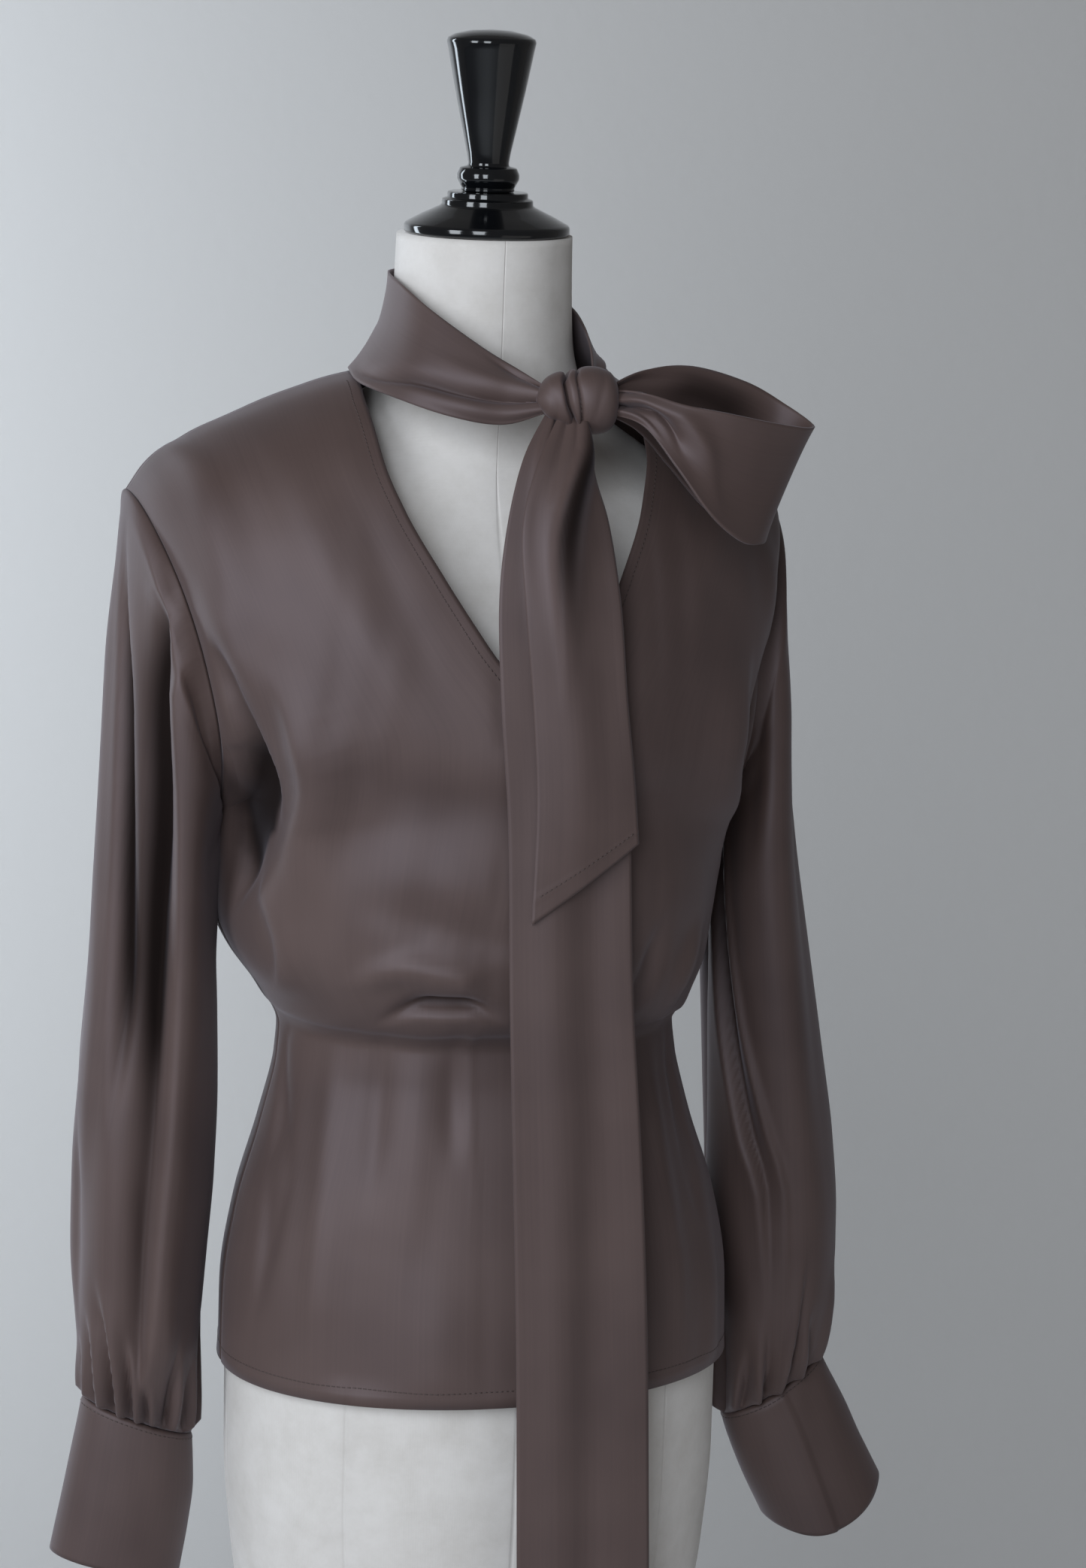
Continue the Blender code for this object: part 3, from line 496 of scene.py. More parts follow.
def acrossRow(inner, outer, share, square, level=0.0):
    # points between a row's two ends, bowed like a quarter of an oval; past level they fall to the outer end
    share = np.clip(share, 0, 1)
    power = 2.0 / square
    along = np.sin(share * math.pi / 2) ** power
    back = 1.0 - np.cos(share * math.pi / 2) ** power
    slope = np.maximum(0.0, along - level) / (1.0 - level)
    slow = shoulderFall["slowShare"]
    fall = slow * slope ** shoulderFall["slow"] + (1 - slow) * slope ** shoulderFall["fast"]
    return inner + (outer - inner) * np.stack([along, back, fall], axis=1)


def byRow(table, at):
    # every column of a table, at a place counted in rows
    return columnsAt(np.arange(len(table)), table, at)


def byTurn(table, turn):
    # every column but the first, which counts down in degrees
    return columnsAt(-table[:, 0], table[:, 1:], -turn)


# the dress form

# height, half width, front y, y of its widest line, back y, squareness
formRows = metres((
    (680, 145, -98, 4, 106, 2.2), (720, 151, -104, 5, 114, 2.2), (790, 156, -112, 6, 124, 2.2),
    (860, 156, -115, 5.5, 126, 2.2), (920, 151, -110, 4, 118, 2.2), (970, 143, -102, 1, 104, 2.2),
    (1020, 123, -93, -2.5, 88, 2.1), (1060, 116, -89, -4.5, 80, 2.1), (1100, 123, -98, -7, 84, 2.1),
    (1150, 132, -115, -11.5, 92, 2.1), (1200, 140, -130, -15, 100, 2.1), (1235, 143, -130, -13, 104, 2.1),
    (1280, 147, -117, -5, 107, 2.2), (1325, 155, -99, 22, 106, 2.3), (1355, 162, -86, 22, 101, 2.3),
    (1378, 160, -77, 22, 95, 2.1), (1398, 142, -71, 22, 88, 1.8), (1415, 118, -66, 22, 80, 1.6),
    (1430, 94, -62, 22, 71, 1.6), (1443, 75, -59, 22, 63, 1.8), (1458, 62, -56, 0.5, 57, 2),
    (1480, 56, -56, -2, 52, 2), (1510, 54, -56.5, -3.2, 50, 2), (1543.4, 53, -57.5, -4.5, 48.5, 2),
), kept=(5,))
formCut = {
    "seams": (0.0, 52.0, 90.0, 128.0, 180.0, 232.0, 270.0, 308.0, 360.0), "perPanel": 26, "rows": 190,
    "gather": 0.85, "seamDepth": 0.0007, "seamWidth": 0.0011, "centre": 0.01, "seamsEnd": (1.28, 1.34),
    "tilt": math.radians(6.0), "tip": math.radians(-0.8), "seat": (-0.0005, -0.007, 1.5437), "tiltFrom": 1.50,
    "flat": (0.9, 0.87), "bend": 5.6, "straight": 0.15, "weld": 0.00002,
}


def formPoints(u, v):
    # the points gather towards each panel's seams, so that the seams stay crisp
    panels = len(formCut["seams"]) - 1
    i = np.clip((u * panels).astype(int), 0, panels - 1)
    f = u * panels - i
    seams = np.array(formCut["seams"])
    gathered = f - formCut["gather"] / (2 * math.pi) * np.sin(2 * math.pi * f)
    turn = np.radians(seams[i] + (seams[i + 1] - seams[i]) * gathered)
    low, top = formRows[0, 0], formRows[-1, 0]
    height = low + (top - low) * v
    half, yFront, yWidest, yBack, square = columnsAt(formRows[:, 0], formRows[:, 1:], height)
    power = 2 / square
    x = half * np.sign(np.cos(turn)) * np.abs(np.cos(turn)) ** power
    reach = np.where(np.sin(turn) >= 0, yBack - yWidest, yWidest - yFront)
    y = yWidest + reach * np.sign(np.sin(turn)) * np.abs(np.sin(turn)) ** power
    x = x + leanAt(height)
    cut = ease(formCut["tiltFrom"], top, height)
    z = height - cut * ((formCut["seat"][1] - y) * math.tan(formCut["tilt"])
                        + (x - formCut["seat"][0]) * math.tan(formCut["tip"]))
    return np.stack([x, y, z], axis=1)


def formHeight(u, v, points, normals):
    panels = len(formCut["seams"]) - 1
    f = u * panels - np.floor(u * panels)
    ends = np.minimum(f, 1 - f)
    around = formCut["flat"][0] / panels * ends * (formCut["bend"] * ends + formCut["straight"])
    centred = np.abs(points[:, 0] - leanAt(points[:, 2])) < formCut["centre"]
    kept = np.where(centred, 1, 1 - ease(*formCut["seamsEnd"], points[:, 2]))
    return -formCut["seamDepth"] * kept * bump(around, formCut["seamWidth"])


def makeForm():
    work = bmesh.new()
    columns = (len(formCut["seams"]) - 1) * formCut["perPanel"]
    laidGrid(work, columns, formCut["rows"], formPoints, formHeight, size=formCut["flat"])
    bmesh.ops.remove_doubles(work, verts=work.verts, dist=formCut["weld"])
    rim = [edge for edge in work.edges if edge.is_boundary]
    bmesh.ops.holes_fill(work, edges=rim, sides=0)
    return finishPiece("dressForm", "form_torso", work, linen)


dressForm = makeForm()
formTree = BVHTree.FromObject(dressForm, bpy.context.evaluated_depsgraph_get())
print("form laid")


# front and back of the blouse

sewnEdge = {"dip": 0.0006, "width": 0.0016, "across": 0.16}

# rows from the hem to the underarm: height, y at the middle, half width, y at the side, squareness
frontLow = metres((
    (850, -126, 161.5, 0, 2.1), (900, -122, 160, 0, 2.1), (950, -115, 152, 2, 2.1),
    (1000, -107, 137, 5, 2.1), (1040, -101, 126.5, 8, 2.1), (1060, -101, 124.5, 10, 2.1),
    (1070, -107, 127, 12, 2.2), (1076, -118, 131, 14, 2.3), (1087, -128, 136, 16, 2.3),
    (1105, -135, 145, 18, 2.3), (1132, -141, 151.5, 20, 2.2), (1163, -144, 156.5, 20, 2.1),
    (1195, -144.5, 162, 20, 2),
), kept=(4,))
backLow = metres((
    (850, 134, 161.5, 0, 2.2), (900, 130, 160, 0, 2.2), (950, 120, 152, 2, 2.2), (1000, 104, 137, 5, 2.2),
    (1040, 93, 126.5, 8, 2.2), (1060, 93, 124.5, 10, 2.2), (1070, 99, 127, 12, 2.4),
    (1076, 110, 131, 14, 2.6), (1087, 119, 136, 16, 2.6), (1105, 125, 145, 18, 2.8),
    (1132, 128, 151.5, 20, 2.6), (1163, 128, 156.5, 20, 2.4), (1195, 128, 162, 20, 2.3),
), kept=(4,))
# rows above it: degrees round the armhole, height, y at the inner end, half width there, squareness
frontTop = metres((
    (180, 1195, -144.5, 0, 2), (153, 1228, -145, 0, 2), (126, 1257, -142, 0, 2), (99, 1306, -129, 32, 2),
    (76, 1345, -113, 54, 2), (56, 1383, -94, 72.5, 2), (38, 1416, -70, 82, 2), (22, 1442, -41, 83.5, 2),
    (9, 1456.5, -12, 80, 2), (0, 1460.5, 12, 77.5, 2),
), kept=(0, 4))
backTop = metres((
    (180, 1195, 128, 0, 2.3), (150, 1232, 128, 0, 2.3), (120, 1272, 125, 0, 2.3), (90, 1315, 120, 0, 2.2),
    (62, 1360, 112, 0, 2.2), (40, 1402, 101, 0, 2.1), (20, 1433, 88, 0, 2), (0, 1452, 70, 0, 2),
), kept=(0, 4))

# cut of front and back; it also holds the share of fold depth that is painted as shade on them
panel = {
    "vShift": 0.0065, "vBottom": 126.0, "lowShare": 0.46, "neckShare": 0.36, "level": 0.39,
    "columns": 72, "rows": 196, "wall": 0.0007, "clearOfForm": 0.0022, "shadePainted": 0.58, "flat": (0.25, 0.66),
    "weld": 0.00012, "sideHeld": 0.03, "hemHeld": 0.012, "vShiftFades": 40.0,
    "band": {"row": 0.46, "width": 0.035, "rounds": 24, "held": 0.08},
    "fuller": {"by": 0.0070, "height": 1.132, "width": 0.030},
    "neckPoint": (0.0775, 0.012, 1.4605), "backNeck": (0.0, 0.070, 1.452), "shoulderGap": 0.0004,
}


def lowPart(table, side, v):
    at = np.clip(v / panel["lowShare"], 0, 1) * (len(table) - 1)
    height, yMiddle, half, ySide, square = byRow(table, at)
    if side < 0:
        fuller = panel["fuller"]
        half = half + fuller["by"] * bump(height - fuller["height"], fuller["width"])
    zero = np.zeros_like(height)
    return np.stack([zero, yMiddle, height], axis=1), np.stack([side * half, ySide, height], axis=1), square


def topTurn(v):
    return 180.0 * (1 - np.clip((v - panel["lowShare"]) / (1 - panel["lowShare"]), 0, 1))


def nearShoulder(turn):
    return np.maximum(0, 1 - turn / 90) ** 2


def frontPoints(side, share, v):
    low = v <= panel["lowShare"]
    inner, outer, square = lowPart(frontLow, side, v)
    turn = topTurn(v)
    height, yInner, half, topSquare = byTurn(frontTop, turn)
    shift = np.where(turn >= panel["vBottom"], panel["vShift"] * (180 - turn) / (180 - panel["vBottom"]),
                     panel["vShift"] * np.minimum(1.0, turn / panel["vShiftFades"]))
    opened = np.where(turn >= panel["vBottom"], 0.0, side * half)
    topInner = np.stack([opened + shift, yInner, height], axis=1)
    inner = np.where(low[:, None], inner, topInner)
    outer = np.where(low[:, None], outer, armhole(turn, side, True))
    points = acrossRow(inner, outer, share, np.where(low, square, topSquare))
    points[:, 1] -= panel["shoulderGap"] * np.where(low, 0, nearShoulder(turn))
    return settle(points)


def backTopEdge(side, share):
    neck = np.array(panel["neckPoint"])
    nape = np.array(panel["backNeck"])
    turn = np.clip(share / panel["neckShare"], 0, 1) * math.pi / 2
    neckline = np.stack([side * neck[0] * np.sin(turn), neck[1] + (nape[1] - neck[1]) * np.cos(turn),
                         nape[2] + (neck[2] - nape[2]) * np.sin(turn) ** 2], axis=1)
    part = np.clip((share - panel["neckShare"]) / (1 - panel["neckShare"]), 0, 1)
    inner = np.tile(neck * (side, 1, 1), (len(share), 1))
    seam = acrossRow(inner, armhole(np.zeros_like(share), side, True), part, 2.0)
    return np.where((share <= panel["neckShare"])[:, None], neckline, seam)


def backPoints(side, share, v):
    low = v <= panel["lowShare"]
    inner, outer, square = lowPart(backLow, side, v)
    turn = topTurn(v)
    height, yInner, half, topSquare = byTurn(backTop, turn)
    topInner = np.stack([side * half, yInner, height], axis=1)
    lowPoints = acrossRow(inner, outer, share, square)
    plain = acrossRow(topInner, armhole(turn, side, False), share, topSquare, panel["level"])
    pull = nearShoulder(turn)[:, None]
    top = plain + (backTopEdge(side, share) - plain) * pull
    top[:, 1] += 2 * panel["shoulderGap"] * pull[:, 0]
    return settle(np.where(low[:, None], lowPoints, top))


# folds of front and back: line of (x, z), width on its left and on its right, height
frontFolds = (
    # the fold that rolls in under the right arm, its hollow and the trough above it
    (((-152, 1300), (-131, 1252), (-123.5, 1221), (-127, 1188), (-140, 1154), (-154, 1118)), 24, 10.5, 12.5),
    (((-168, 1272), (-154.5, 1238), (-148.5, 1206), (-151, 1172), (-159, 1132)), 11, 29, -25),
    (((-178, 1315), (-164, 1268), (-148, 1236)), 8.5, 10, -7),
    (((-186, 1350), (-164, 1295), (-146, 1258)), 12, 12, 3.6),
    # the same on the left
    (((148, 1310), (138, 1262), (133, 1230), (139, 1198), (154, 1150)), 11, 23, 9.5),
    (((162, 1272), (151.5, 1232), (149.5, 1206), (158, 1160)), 14, 10, -18),
    (((178, 1320), (162, 1275), (147, 1236)), 10, 8.5, -6.5),
    # soft stripes down from the shoulders
    (((-160, 1450), (-135.5, 1408.4), (-107.6, 1339.9), (-75, 1266.2), (-60, 1225)), 20, 12, 2.2),
    (((-120, 1440), (-103, 1395), (-76, 1325), (-45, 1255)), 12, 18, -1.8),
    (((-195, 1435), (-180, 1390), (-168, 1335), (-158, 1280)), 14, 12, 3),
    (((-170, 1420), (-156, 1370), (-140, 1310)), 12, 14, -2),
    (((150, 1430), (115, 1350), (80, 1275), (66, 1230)), 16, 18, 2.2),
    (((115, 1370), (92, 1310), (72, 1235)), 18, 16, -1.8),
    (((190, 1400), (168, 1330), (150, 1270)), 12, 14, 2.6),
    # the band under the bust, the swell below it and the tucks above the waist
    (((-170, 1232), (-118, 1225), (-60, 1217), (0, 1210), (80, 1214), (150, 1228)), 24, 32, -5.8),
    (((-170, 1146), (-118, 1160), (-70, 1168), (-30, 1172), (30, 1170)), 22, 20, 2.4),
    (((60, 1168), (95, 1158), (150, 1146)), 22, 20, 3),
    (((-112, 1160), (-74, 1153), (-40, 1142), (10, 1126)), 13, 15, -5.2),
    (((-112, 1100), (-70, 1119), (-36, 1113), (6, 1098)), 8.5, 11, 7),
    (((-86, 1079), (-58, 1094), (-36, 1094), (-10, 1081)), 7.5, 4.5, -12),
    (((-150, 1185), (-138.1, 1150), (-133.1, 1115.6), (-129, 1070)), 12, 6, 5.2),
    (((52, 1070), (76, 1106), (88, 1150)), 8, 9, -6),
    (((92, 1070), (106, 1106), (124, 1145)), 9, 11, 5),
    # gathers that spread down from the waist
    (((-116, 1085), (-124, 1020), (-140, 930), (-150, 870)), 9, 7, -4.2),
    (((-97, 1085), (-103, 1015), (-113, 925), (-120, 850)), 12, 11, 3.6),
    (((-75, 1085), (-79, 1030), (-86, 960)), 9, 8, -3.4),
    (((-55, 1085), (-58, 1020), (-64, 930)), 12, 14, 2.8),
    (((-34, 1085), (-35, 1040), (-38, 985)), 7, 8, -3),
    (((-12, 1085), (-12, 1020), (-14, 940)), 12, 12, 2.4),
    (((70, 1085), (74, 1030), (80, 965)), 8, 8, -3),
    (((90, 1085), (96, 1010), (107, 925), (114, 850)), 10, 12, 3.6),
    (((108, 1085), (117, 1020), (132, 930)), 8, 8, -4),
    # slow waves along the hem
    (((-85, 985), (-88, 920), (-92, 840), (-94, 760)), 18, 18, -3.4),
    (((-45, 960), (-46, 900), (-48, 840), (-48, 760)), 18, 18, 2.6),
    (((128, 985), (134, 920), (140, 840), (142, 760)), 16, 16, 3),
)
backFolds = (
    (((-150, 1310), (-142, 1255), (-138, 1205), (-152, 1150)), 16, 10, 8.5),
    (((-166, 1275), (-153, 1228), (-160, 1165)), 9.5, 10, -14),
    (((146, 1315), (140, 1258), (135, 1208), (150, 1150)), 10, 16, 8.5),
    (((166, 1275), (150, 1230), (158, 1165)), 10, 9.5, -14),
    (((-98, 1420), (-86, 1310), (-88, 1180)), 20, 18, 4.2),
    (((-60, 1400), (-48, 1300), (-50, 1160)), 14, 20, -3.6),
    (((-12, 1380), (-8, 1280), (-12, 1150)), 20, 20, 2.6),
    (((46, 1390), (40, 1290), (34, 1150)), 18, 14, -3.2),
    (((86, 1415), (82, 1300), (76, 1170)), 20, 18, 4),
    (((-150, 1150), (-90, 1128), (-10, 1114)), 13, 14, 5.6),
    (((150, 1152), (80, 1130), (6, 1116)), 14, 13, 5.2),
    (((-70, 1072), (-56, 1112), (-64, 1170)), 8, 11, -5),
    (((14, 1072), (4, 1116), (14, 1180)), 11, 8, -4.6),
    (((90, 1072), (74, 1112), (84, 1165)), 11, 8, -5),
    (((-102, 1085), (-110, 1010), (-122, 900)), 9, 8, -3.6),
    (((-80, 1085), (-88, 1010), (-98, 900)), 12, 12, 4),
    (((-50, 1085), (-53, 1020), (-60, 930)), 9, 10, -3.6),
    (((-20, 1085), (-21, 1010), (-24, 900)), 13, 13, 3),
    (((20, 1085), (22, 1020), (26, 940)), 9, 9, -3.4),
    (((50, 1085), (56, 1010), (66, 900)), 13, 12, 3.6),
    (((80, 1085), (90, 1010), (104, 920)), 9, 9, -3.6),
    (((100, 1085), (112, 1005), (130, 900)), 11, 11, 3.6),
    (((-40, 960), (-42, 900), (-44, 840), (-44, 760)), 20, 20, -3.4),
    (((40, 960), (44, 900), (48, 840), (48, 760)), 20, 20, 3),
)
hem = {"height": 0.850, "depth": 0.010, "groove": 0.0004, "width": 0.0009}


def panelEdges(share, z):
    # the seam dips at the side and the stitched line above the hem
    side = sewnEdge["dip"] * bump((1 - share) * sewnEdge["across"], sewnEdge["width"])
    return side + hem["groove"] * bump(z - hem["height"] - hem["depth"], hem["width"])


def heldClear(height, points):
    # no fold comes nearer to the dress form than the cloth may; the last half of the way is a soft stop
    room = np.array([formTree.find_nearest(point)[3] for point in points])
    half = 0.5 * (panel["clearOfForm"] - room)
    past = height / np.minimum(half, -1e-6) - 1
    return np.where(height < half, half + half * np.tanh(past), height)


tieOnFront = {
    "low": -0.022, "high": 0.080, "below": 1.40, "limit": -0.0004, "slope": 0.20, "curve": 16.0,
}


def underTie(height, points):
    # the front doesn't rise into the tie that lies on it
    outside = np.maximum(tieOnFront["low"] - points[:, 0], points[:, 0] - tieOnFront["high"])
    outside = np.maximum(np.maximum(outside, points[:, 2] - tieOnFront["below"]), 0)
    allowed = outside * (tieOnFront["slope"] + tieOnFront["curve"] * outside)
    return np.minimum(height, tieOnFront["limit"] + allowed)


def panelHeight(laidFolds, share, points, normals):
    # folds sink away towards the sewn sides and the hem, so that neighbours still meet
    held = ease(0, panel["sideHeld"], 1 - share) * ease(0, panel["hemHeld"], points[:, 2] - hem["height"])
    height = foldHeight(laidFolds, points, normals) + softDrift(points)
    # painted shade follows the fold depth before the seams hold it, so the painted darkness runs on up to the
    # seams
    return heldClear(height * held, points) - panelEdges(share, points[:, 2]), -panel["shadePainted"] * height


# the stitched line inside the V's edge, and the degrees round the armhole where it starts and ends
vEdge = {"in": 0.0065, "width": 0.0011, "groove": 0.0002, "across": 0.17, "below": 122.0, "above": 6.0}


def frontEdge(height, share, v, points):
    turn = topTurn(v)
    rim = vEdge["groove"] * bump(share * vEdge["across"] - vEdge["in"], vEdge["width"])
    return underTie(height, points) - rim * (turn < vEdge["below"]) * (turn > vEdge["above"])


def makePanel(name, pointsOf, folds, outside, edge=None):
    # outside is -1 where the outside faces forward and 1 where it faces back
    counts = [np.linspace(0, 1, panel[count] + 1) for count in ("columns", "rows")]
    u, v = [part.ravel() for part in np.meshgrid(*counts)]
    bothHalves = np.concatenate([pointsOf(side, u, v) for side in (-1, 1)])
    laidFolds = layFolds(folds, bothHalves[:, [0, 2]], bothHalves)
    work = bmesh.new()
    for side in (-1, 1):
        turned = side == outside

        def place(u, v, side=side, turned=turned):
            return pointsOf(side, 1 - u if turned else u, v)

        def height(u, v, points, normals, turned=turned):
            share = 1 - u if turned else u
            outward = normals if np.mean(normals[:, 1] * outside) > 0 else -normals
            lift, deep = panelHeight(laidFolds, share, points, outward)
            return (edge(lift, share, v, points) if edge else lift), deep

        band = dict(panel["band"], sewn=0 if turned else 1)
        laidGrid(work, panel["columns"], panel["rows"], place, height, size=panel["flat"], band=band)
    return finishCloth(name, work, panel)


front = makePanel("front", frontPoints, frontFolds, -1, frontEdge)
back = makePanel("back", backPoints, backFolds, 1)
print("front and back laid")


# sleeves and cuffs

# below the armhole's own two rings: distance down, outer x and z, inner x and z, front y and back y
rightSleeveRows = metres((
    (12, 216.5, 1376, 165.5, 1191.5, -55, 89), (40, 219, 1348, 165.2, 1182, -53, 91),
    (88, 222.5, 1300, 164, 1164, -47, 91), (153, 226, 1235, 162, 1138, -39, 88),
    (223, 230.5, 1165, 159, 1106, -30, 86), (288, 235, 1100, 157.5, 1068, -25, 83),
    (353, 241, 1035, 157, 1020, -23, 82), (416, 246, 972, 159, 965, -22, 83),
    (468, 247, 920, 164, 912, -21, 83), (512, 245, 876, 167.5, 862, -18, 78),
    (542, 242.5, 846, 170, 825, -9, 69), (564.5, 240.5, 823.7, 171.5, 796, 6, 54),
))
leftSleeveRows = metres((
    (16, 197.5, 1372, 164, 1191.5, -36, 96), (43, 199, 1345, 164, 1182, -35, 98),
    (88, 203, 1300, 163.8, 1164, -33, 96), (153, 208, 1235, 163.2, 1138, -30, 92),
    (223, 216.5, 1165, 162.5, 1106, -26, 87), (288, 227, 1100, 162.5, 1068, -24, 83),
    (353, 238, 1035, 163.5, 1018, -23, 82), (416, 248, 972, 165, 958, -22, 83),
    (468, 252, 920, 168, 900, -21, 83), (512, 251.5, 876, 172, 848, -18, 78),
    (542, 248.5, 846, 175, 808, -9, 69), (564.7, 245, 823.3, 179, 783, 6, 54),
))
rightCuffRows = metres((
    (240.6, 823.5, 171.6, 795.8, 6, 54), (248, 789, 171.5, 766, 4, 56), (254.5, 756, 174.5, 736, 3, 57),
    (261, 725, 179.5, 706, 3, 58),
))
leftCuffRows = metres((
    (245.2, 823.1, 179.2, 782.8, 6, 54), (261, 794, 189, 757, 2, 58), (275.5, 765, 199, 733, -2, 61),
    (289.5, 736, 209, 712, -6, 64),
))
# the sleeves' cut, with how much weaker their painted shade gets further down
sleeveCut = {
    "around": 150, "rows": 224, "wall": 0.0007, "headGap": -0.0004, "headOut": 0.0034, "tipShare": 0.25,
    "headDown": 0.005, "paintedShadeWeaker": 0.5, "paintedShadeFadesDown": (0.22, 0.42), "flat": (0.38, 0.57), "headHeld": 0.022,
    "cuffHeld": 0.05, "weld": 0.00005,
}
pleatCut = {
    "lap": 2.1, "held": 0.005, "fadesFrom": 0.1, "roll": 0.8, "flatTop": 0.5, "valley": 0.6, "widens": 0.7,
}
cuffCut = {
    "around": 120, "rows": 36, "wall": 0.0012, "leftDrop": 0.016, "seam": 0.0008, "seamWidth": 0.0016,
    "rowGap": 0.033, "lap": 0.0022, "lapTurn": 88.0, "lapEdge": 1.2, "lapFades": (10, 60), "lapFrom": 0.2,
    "driftFrom": 0.5, "flat": (0.24, 0.10), "weld": 0.00005,
}


def ringPoints(columns, turn, side, drop=0.0):
    xOuter, zOuter, xInner, zInner, yFront, yBack = columns
    cosPart, sinPart = np.cos(np.radians(turn)), np.sin(np.radians(turn))
    x = (xOuter + xInner) / 2 + (xOuter - xInner) / 2 * cosPart
    z = (zOuter + zInner) / 2 + (zOuter - zInner) / 2 * cosPart - drop * np.maximum(0, sinPart) ** 2
    y = (yFront + yBack) / 2 - (yBack - yFront) / 2 * sinPart
    return np.stack([side * x, y, z], axis=1)


def headPoints(side, turn, out):
    forward = turn <= 180
    points = settle(armhole(np.where(forward, turn, 360 - turn), side, forward))
    share = sleeveCut["tipShare"] + (1 - sleeveCut["tipShare"]) * np.abs(np.sin(np.radians(turn)))
    points[:, 0] += side * (sleeveCut["headGap"] + out * share)
    return points


def sleevePoints(rows, side, turn, down):
    keys = np.array([0.0, sleeveCut["headDown"]] + [row[0] for row in rows])
    rings = [headPoints(side, turn, 0.0), headPoints(side, turn, sleeveCut["headOut"])]
    rings += [ringPoints([np.full_like(turn, value) for value in row[1:]], turn, side) for row in rows]
    return throughRings(keys, np.array(rings), down)


# folds of the sleeves: line of (degrees round, height), width on its left and on its right, height
rightSleeveFolds = (
    # the roll along the outside, the recessed plane beside it and the panel that laps over that plane
    (((-8, 1375), (0, 1280), (12, 1160), (22, 1040), (20, 920)), 10, 16, 4),
    (((10, 1384), (14, 1340), (22, 1280), (34, 1190), (44, 1100), (49, 1040), (50, 985)), 9.5, 5, -10.5),
    (((40, 1375), (48, 1280), (60, 1180), (68, 1060), (68, 960)), 18, 16, -5),
    (((62, 1392), (65, 1340), (70, 1280), (83, 1190), (87, 1100), (88, 1020), (85, 930), (81, 850),
     (78, 770)), 3.6, 15, -11.5),
    (((76, 1388), (80, 1330), (86, 1280), (98, 1190), (101, 1060), (99, 950), (94, 850),
     (90, 780)), 17, 5.6, 6.4),
    (((48, 1386), (60, 1362), (72, 1340)), 6, 4.2, 4.4),
    (((140, 1300), (146, 1240), (150, 1190)), 14, 9, 8),
    (((168, 1290), (170, 1220), (174, 1150), (176, 1090)), 18, 22, 8),
    (((16, 1020), (8, 950), (14, 860)), 12, 6, -4.4),
    # the back of the sleeve
    (((208, 1350), (214, 1180), (216, 1020), (208, 860)), 5, 15, -12.5),
    (((242, 1350), (242, 1180), (245, 1020), (242, 870)), 16, 16, 4.6),
    (((270, 1362), (276, 1200), (278, 1050), (266, 860)), 12, 5, -13),
    (((318, 1340), (320, 1150), (316, 930)), 18, 18, 4),
)
leftSleeveFolds = (
    # a soft streak down the middle, the long ridge that crosses to the cuff and the dark valley behind it
    (((30, 1350), (40, 1200), (46, 1040), (48, 890)), 18, 16, -3),
    (((72, 1365), (84, 1230), (88, 1080), (76, 940)), 16, 14, 4),
    (((108, 1350), (120, 1260), (126, 1150)), 12, 12, -5.6),
    (((162, 1230), (156, 1150), (140, 1060), (117, 985), (101, 940), (100, 850)), 5, 16, 6.4),
    (((176, 1230), (170, 1150), (155, 1060), (132, 985), (114, 940), (112, 850)), 15, 4, -13),
    (((140, 1262), (142, 1225), (148, 1190)), 10, 12, 6),
    (((196, 1340), (204, 1180), (206, 1020), (200, 870)), 14, 5, -12),
    (((236, 1350), (240, 1180), (242, 1010), (236, 880)), 16, 16, 4.6),
    (((272, 1355), (276, 1200), (278, 1040), (268, 870)), 5.5, 13, -12.5),
    (((316, 1340), (318, 1150), (314, 930)), 18, 16, 4),
)
# pleats above the cuffs: degrees round, how far up they reach, degrees wide, depth, degrees they lean
rightPleats = (
    (17, 45, 8, 5, 6), (42, 68, 9, 7.8, 15), (64, 92, 9, 8.5, 24), (81, 58, 7, 8.5, 15),
    (96, 32, 6, 7.5, 6), (115, 60, 8, 8.5, -9), (143, 50, 9, 6, -6), (176, 75, 9, 7, 5),
    (203, 60, 8, 7.5, 9), (224, 100, 8, 8, 12), (245, 70, 7, 8, -6), (263, 45, 7, 7, 4),
    (288, 85, 9, 7.5, -10), (318, 60, 9, 6, 8), (344, 40, 8, 5, -4),
)
leftPleats = (
    (8, 50, 9, 6, -6), (38, 75, 9, 7, 10), (66, 55, 8, 7.5, -8), (92, 95, 8, 8, 14), (112, 60, 8, 8, -6),
    (140, 45, 9, 6, 6), (172, 70, 9, 7, 8), (200, 55, 8, 7.5, -6), (222, 95, 8, 8, -12),
    (243, 65, 7, 8, 6), (262, 45, 7, 7, -4), (288, 80, 9, 7.5, 10), (316, 60, 9, 6, -8),
    (342, 45, 8, 5.5, 5),
)


def pleatHeight(pleats, turn, up):
    # each pleat is a roll that laps over the valley beside it, deepest just above the cuff's seam
    total = np.zeros_like(turn)
    for middle, reach, wide, depth, lean in pleats:
        rise = np.clip(up / (reach * mm), 0, 1)
        away = (turn - middle + lean * rise + 180) % 360 - 180
        over = 0.5 + 0.5 * np.tanh(away / pleatCut["lap"])
        roll = over * bump(np.maximum(away - pleatCut["flatTop"] * wide, 0), wide)
        valley = (1 - over) * bump(away, wide * (pleatCut["valley"] + pleatCut["widens"] * rise))
        total += depth * mm * (1 - ease(pleatCut["fadesFrom"], 1, rise)) * (pleatCut["roll"] * roll - valley)
    return total * ease(0, pleatCut["held"], up)


def roundDown(u, v, side, length):
    # degrees round and the way down; the right side's grid runs upwards, so that it faces out as well
    return 360 * u, length * (v if side > 0 else 1 - v)


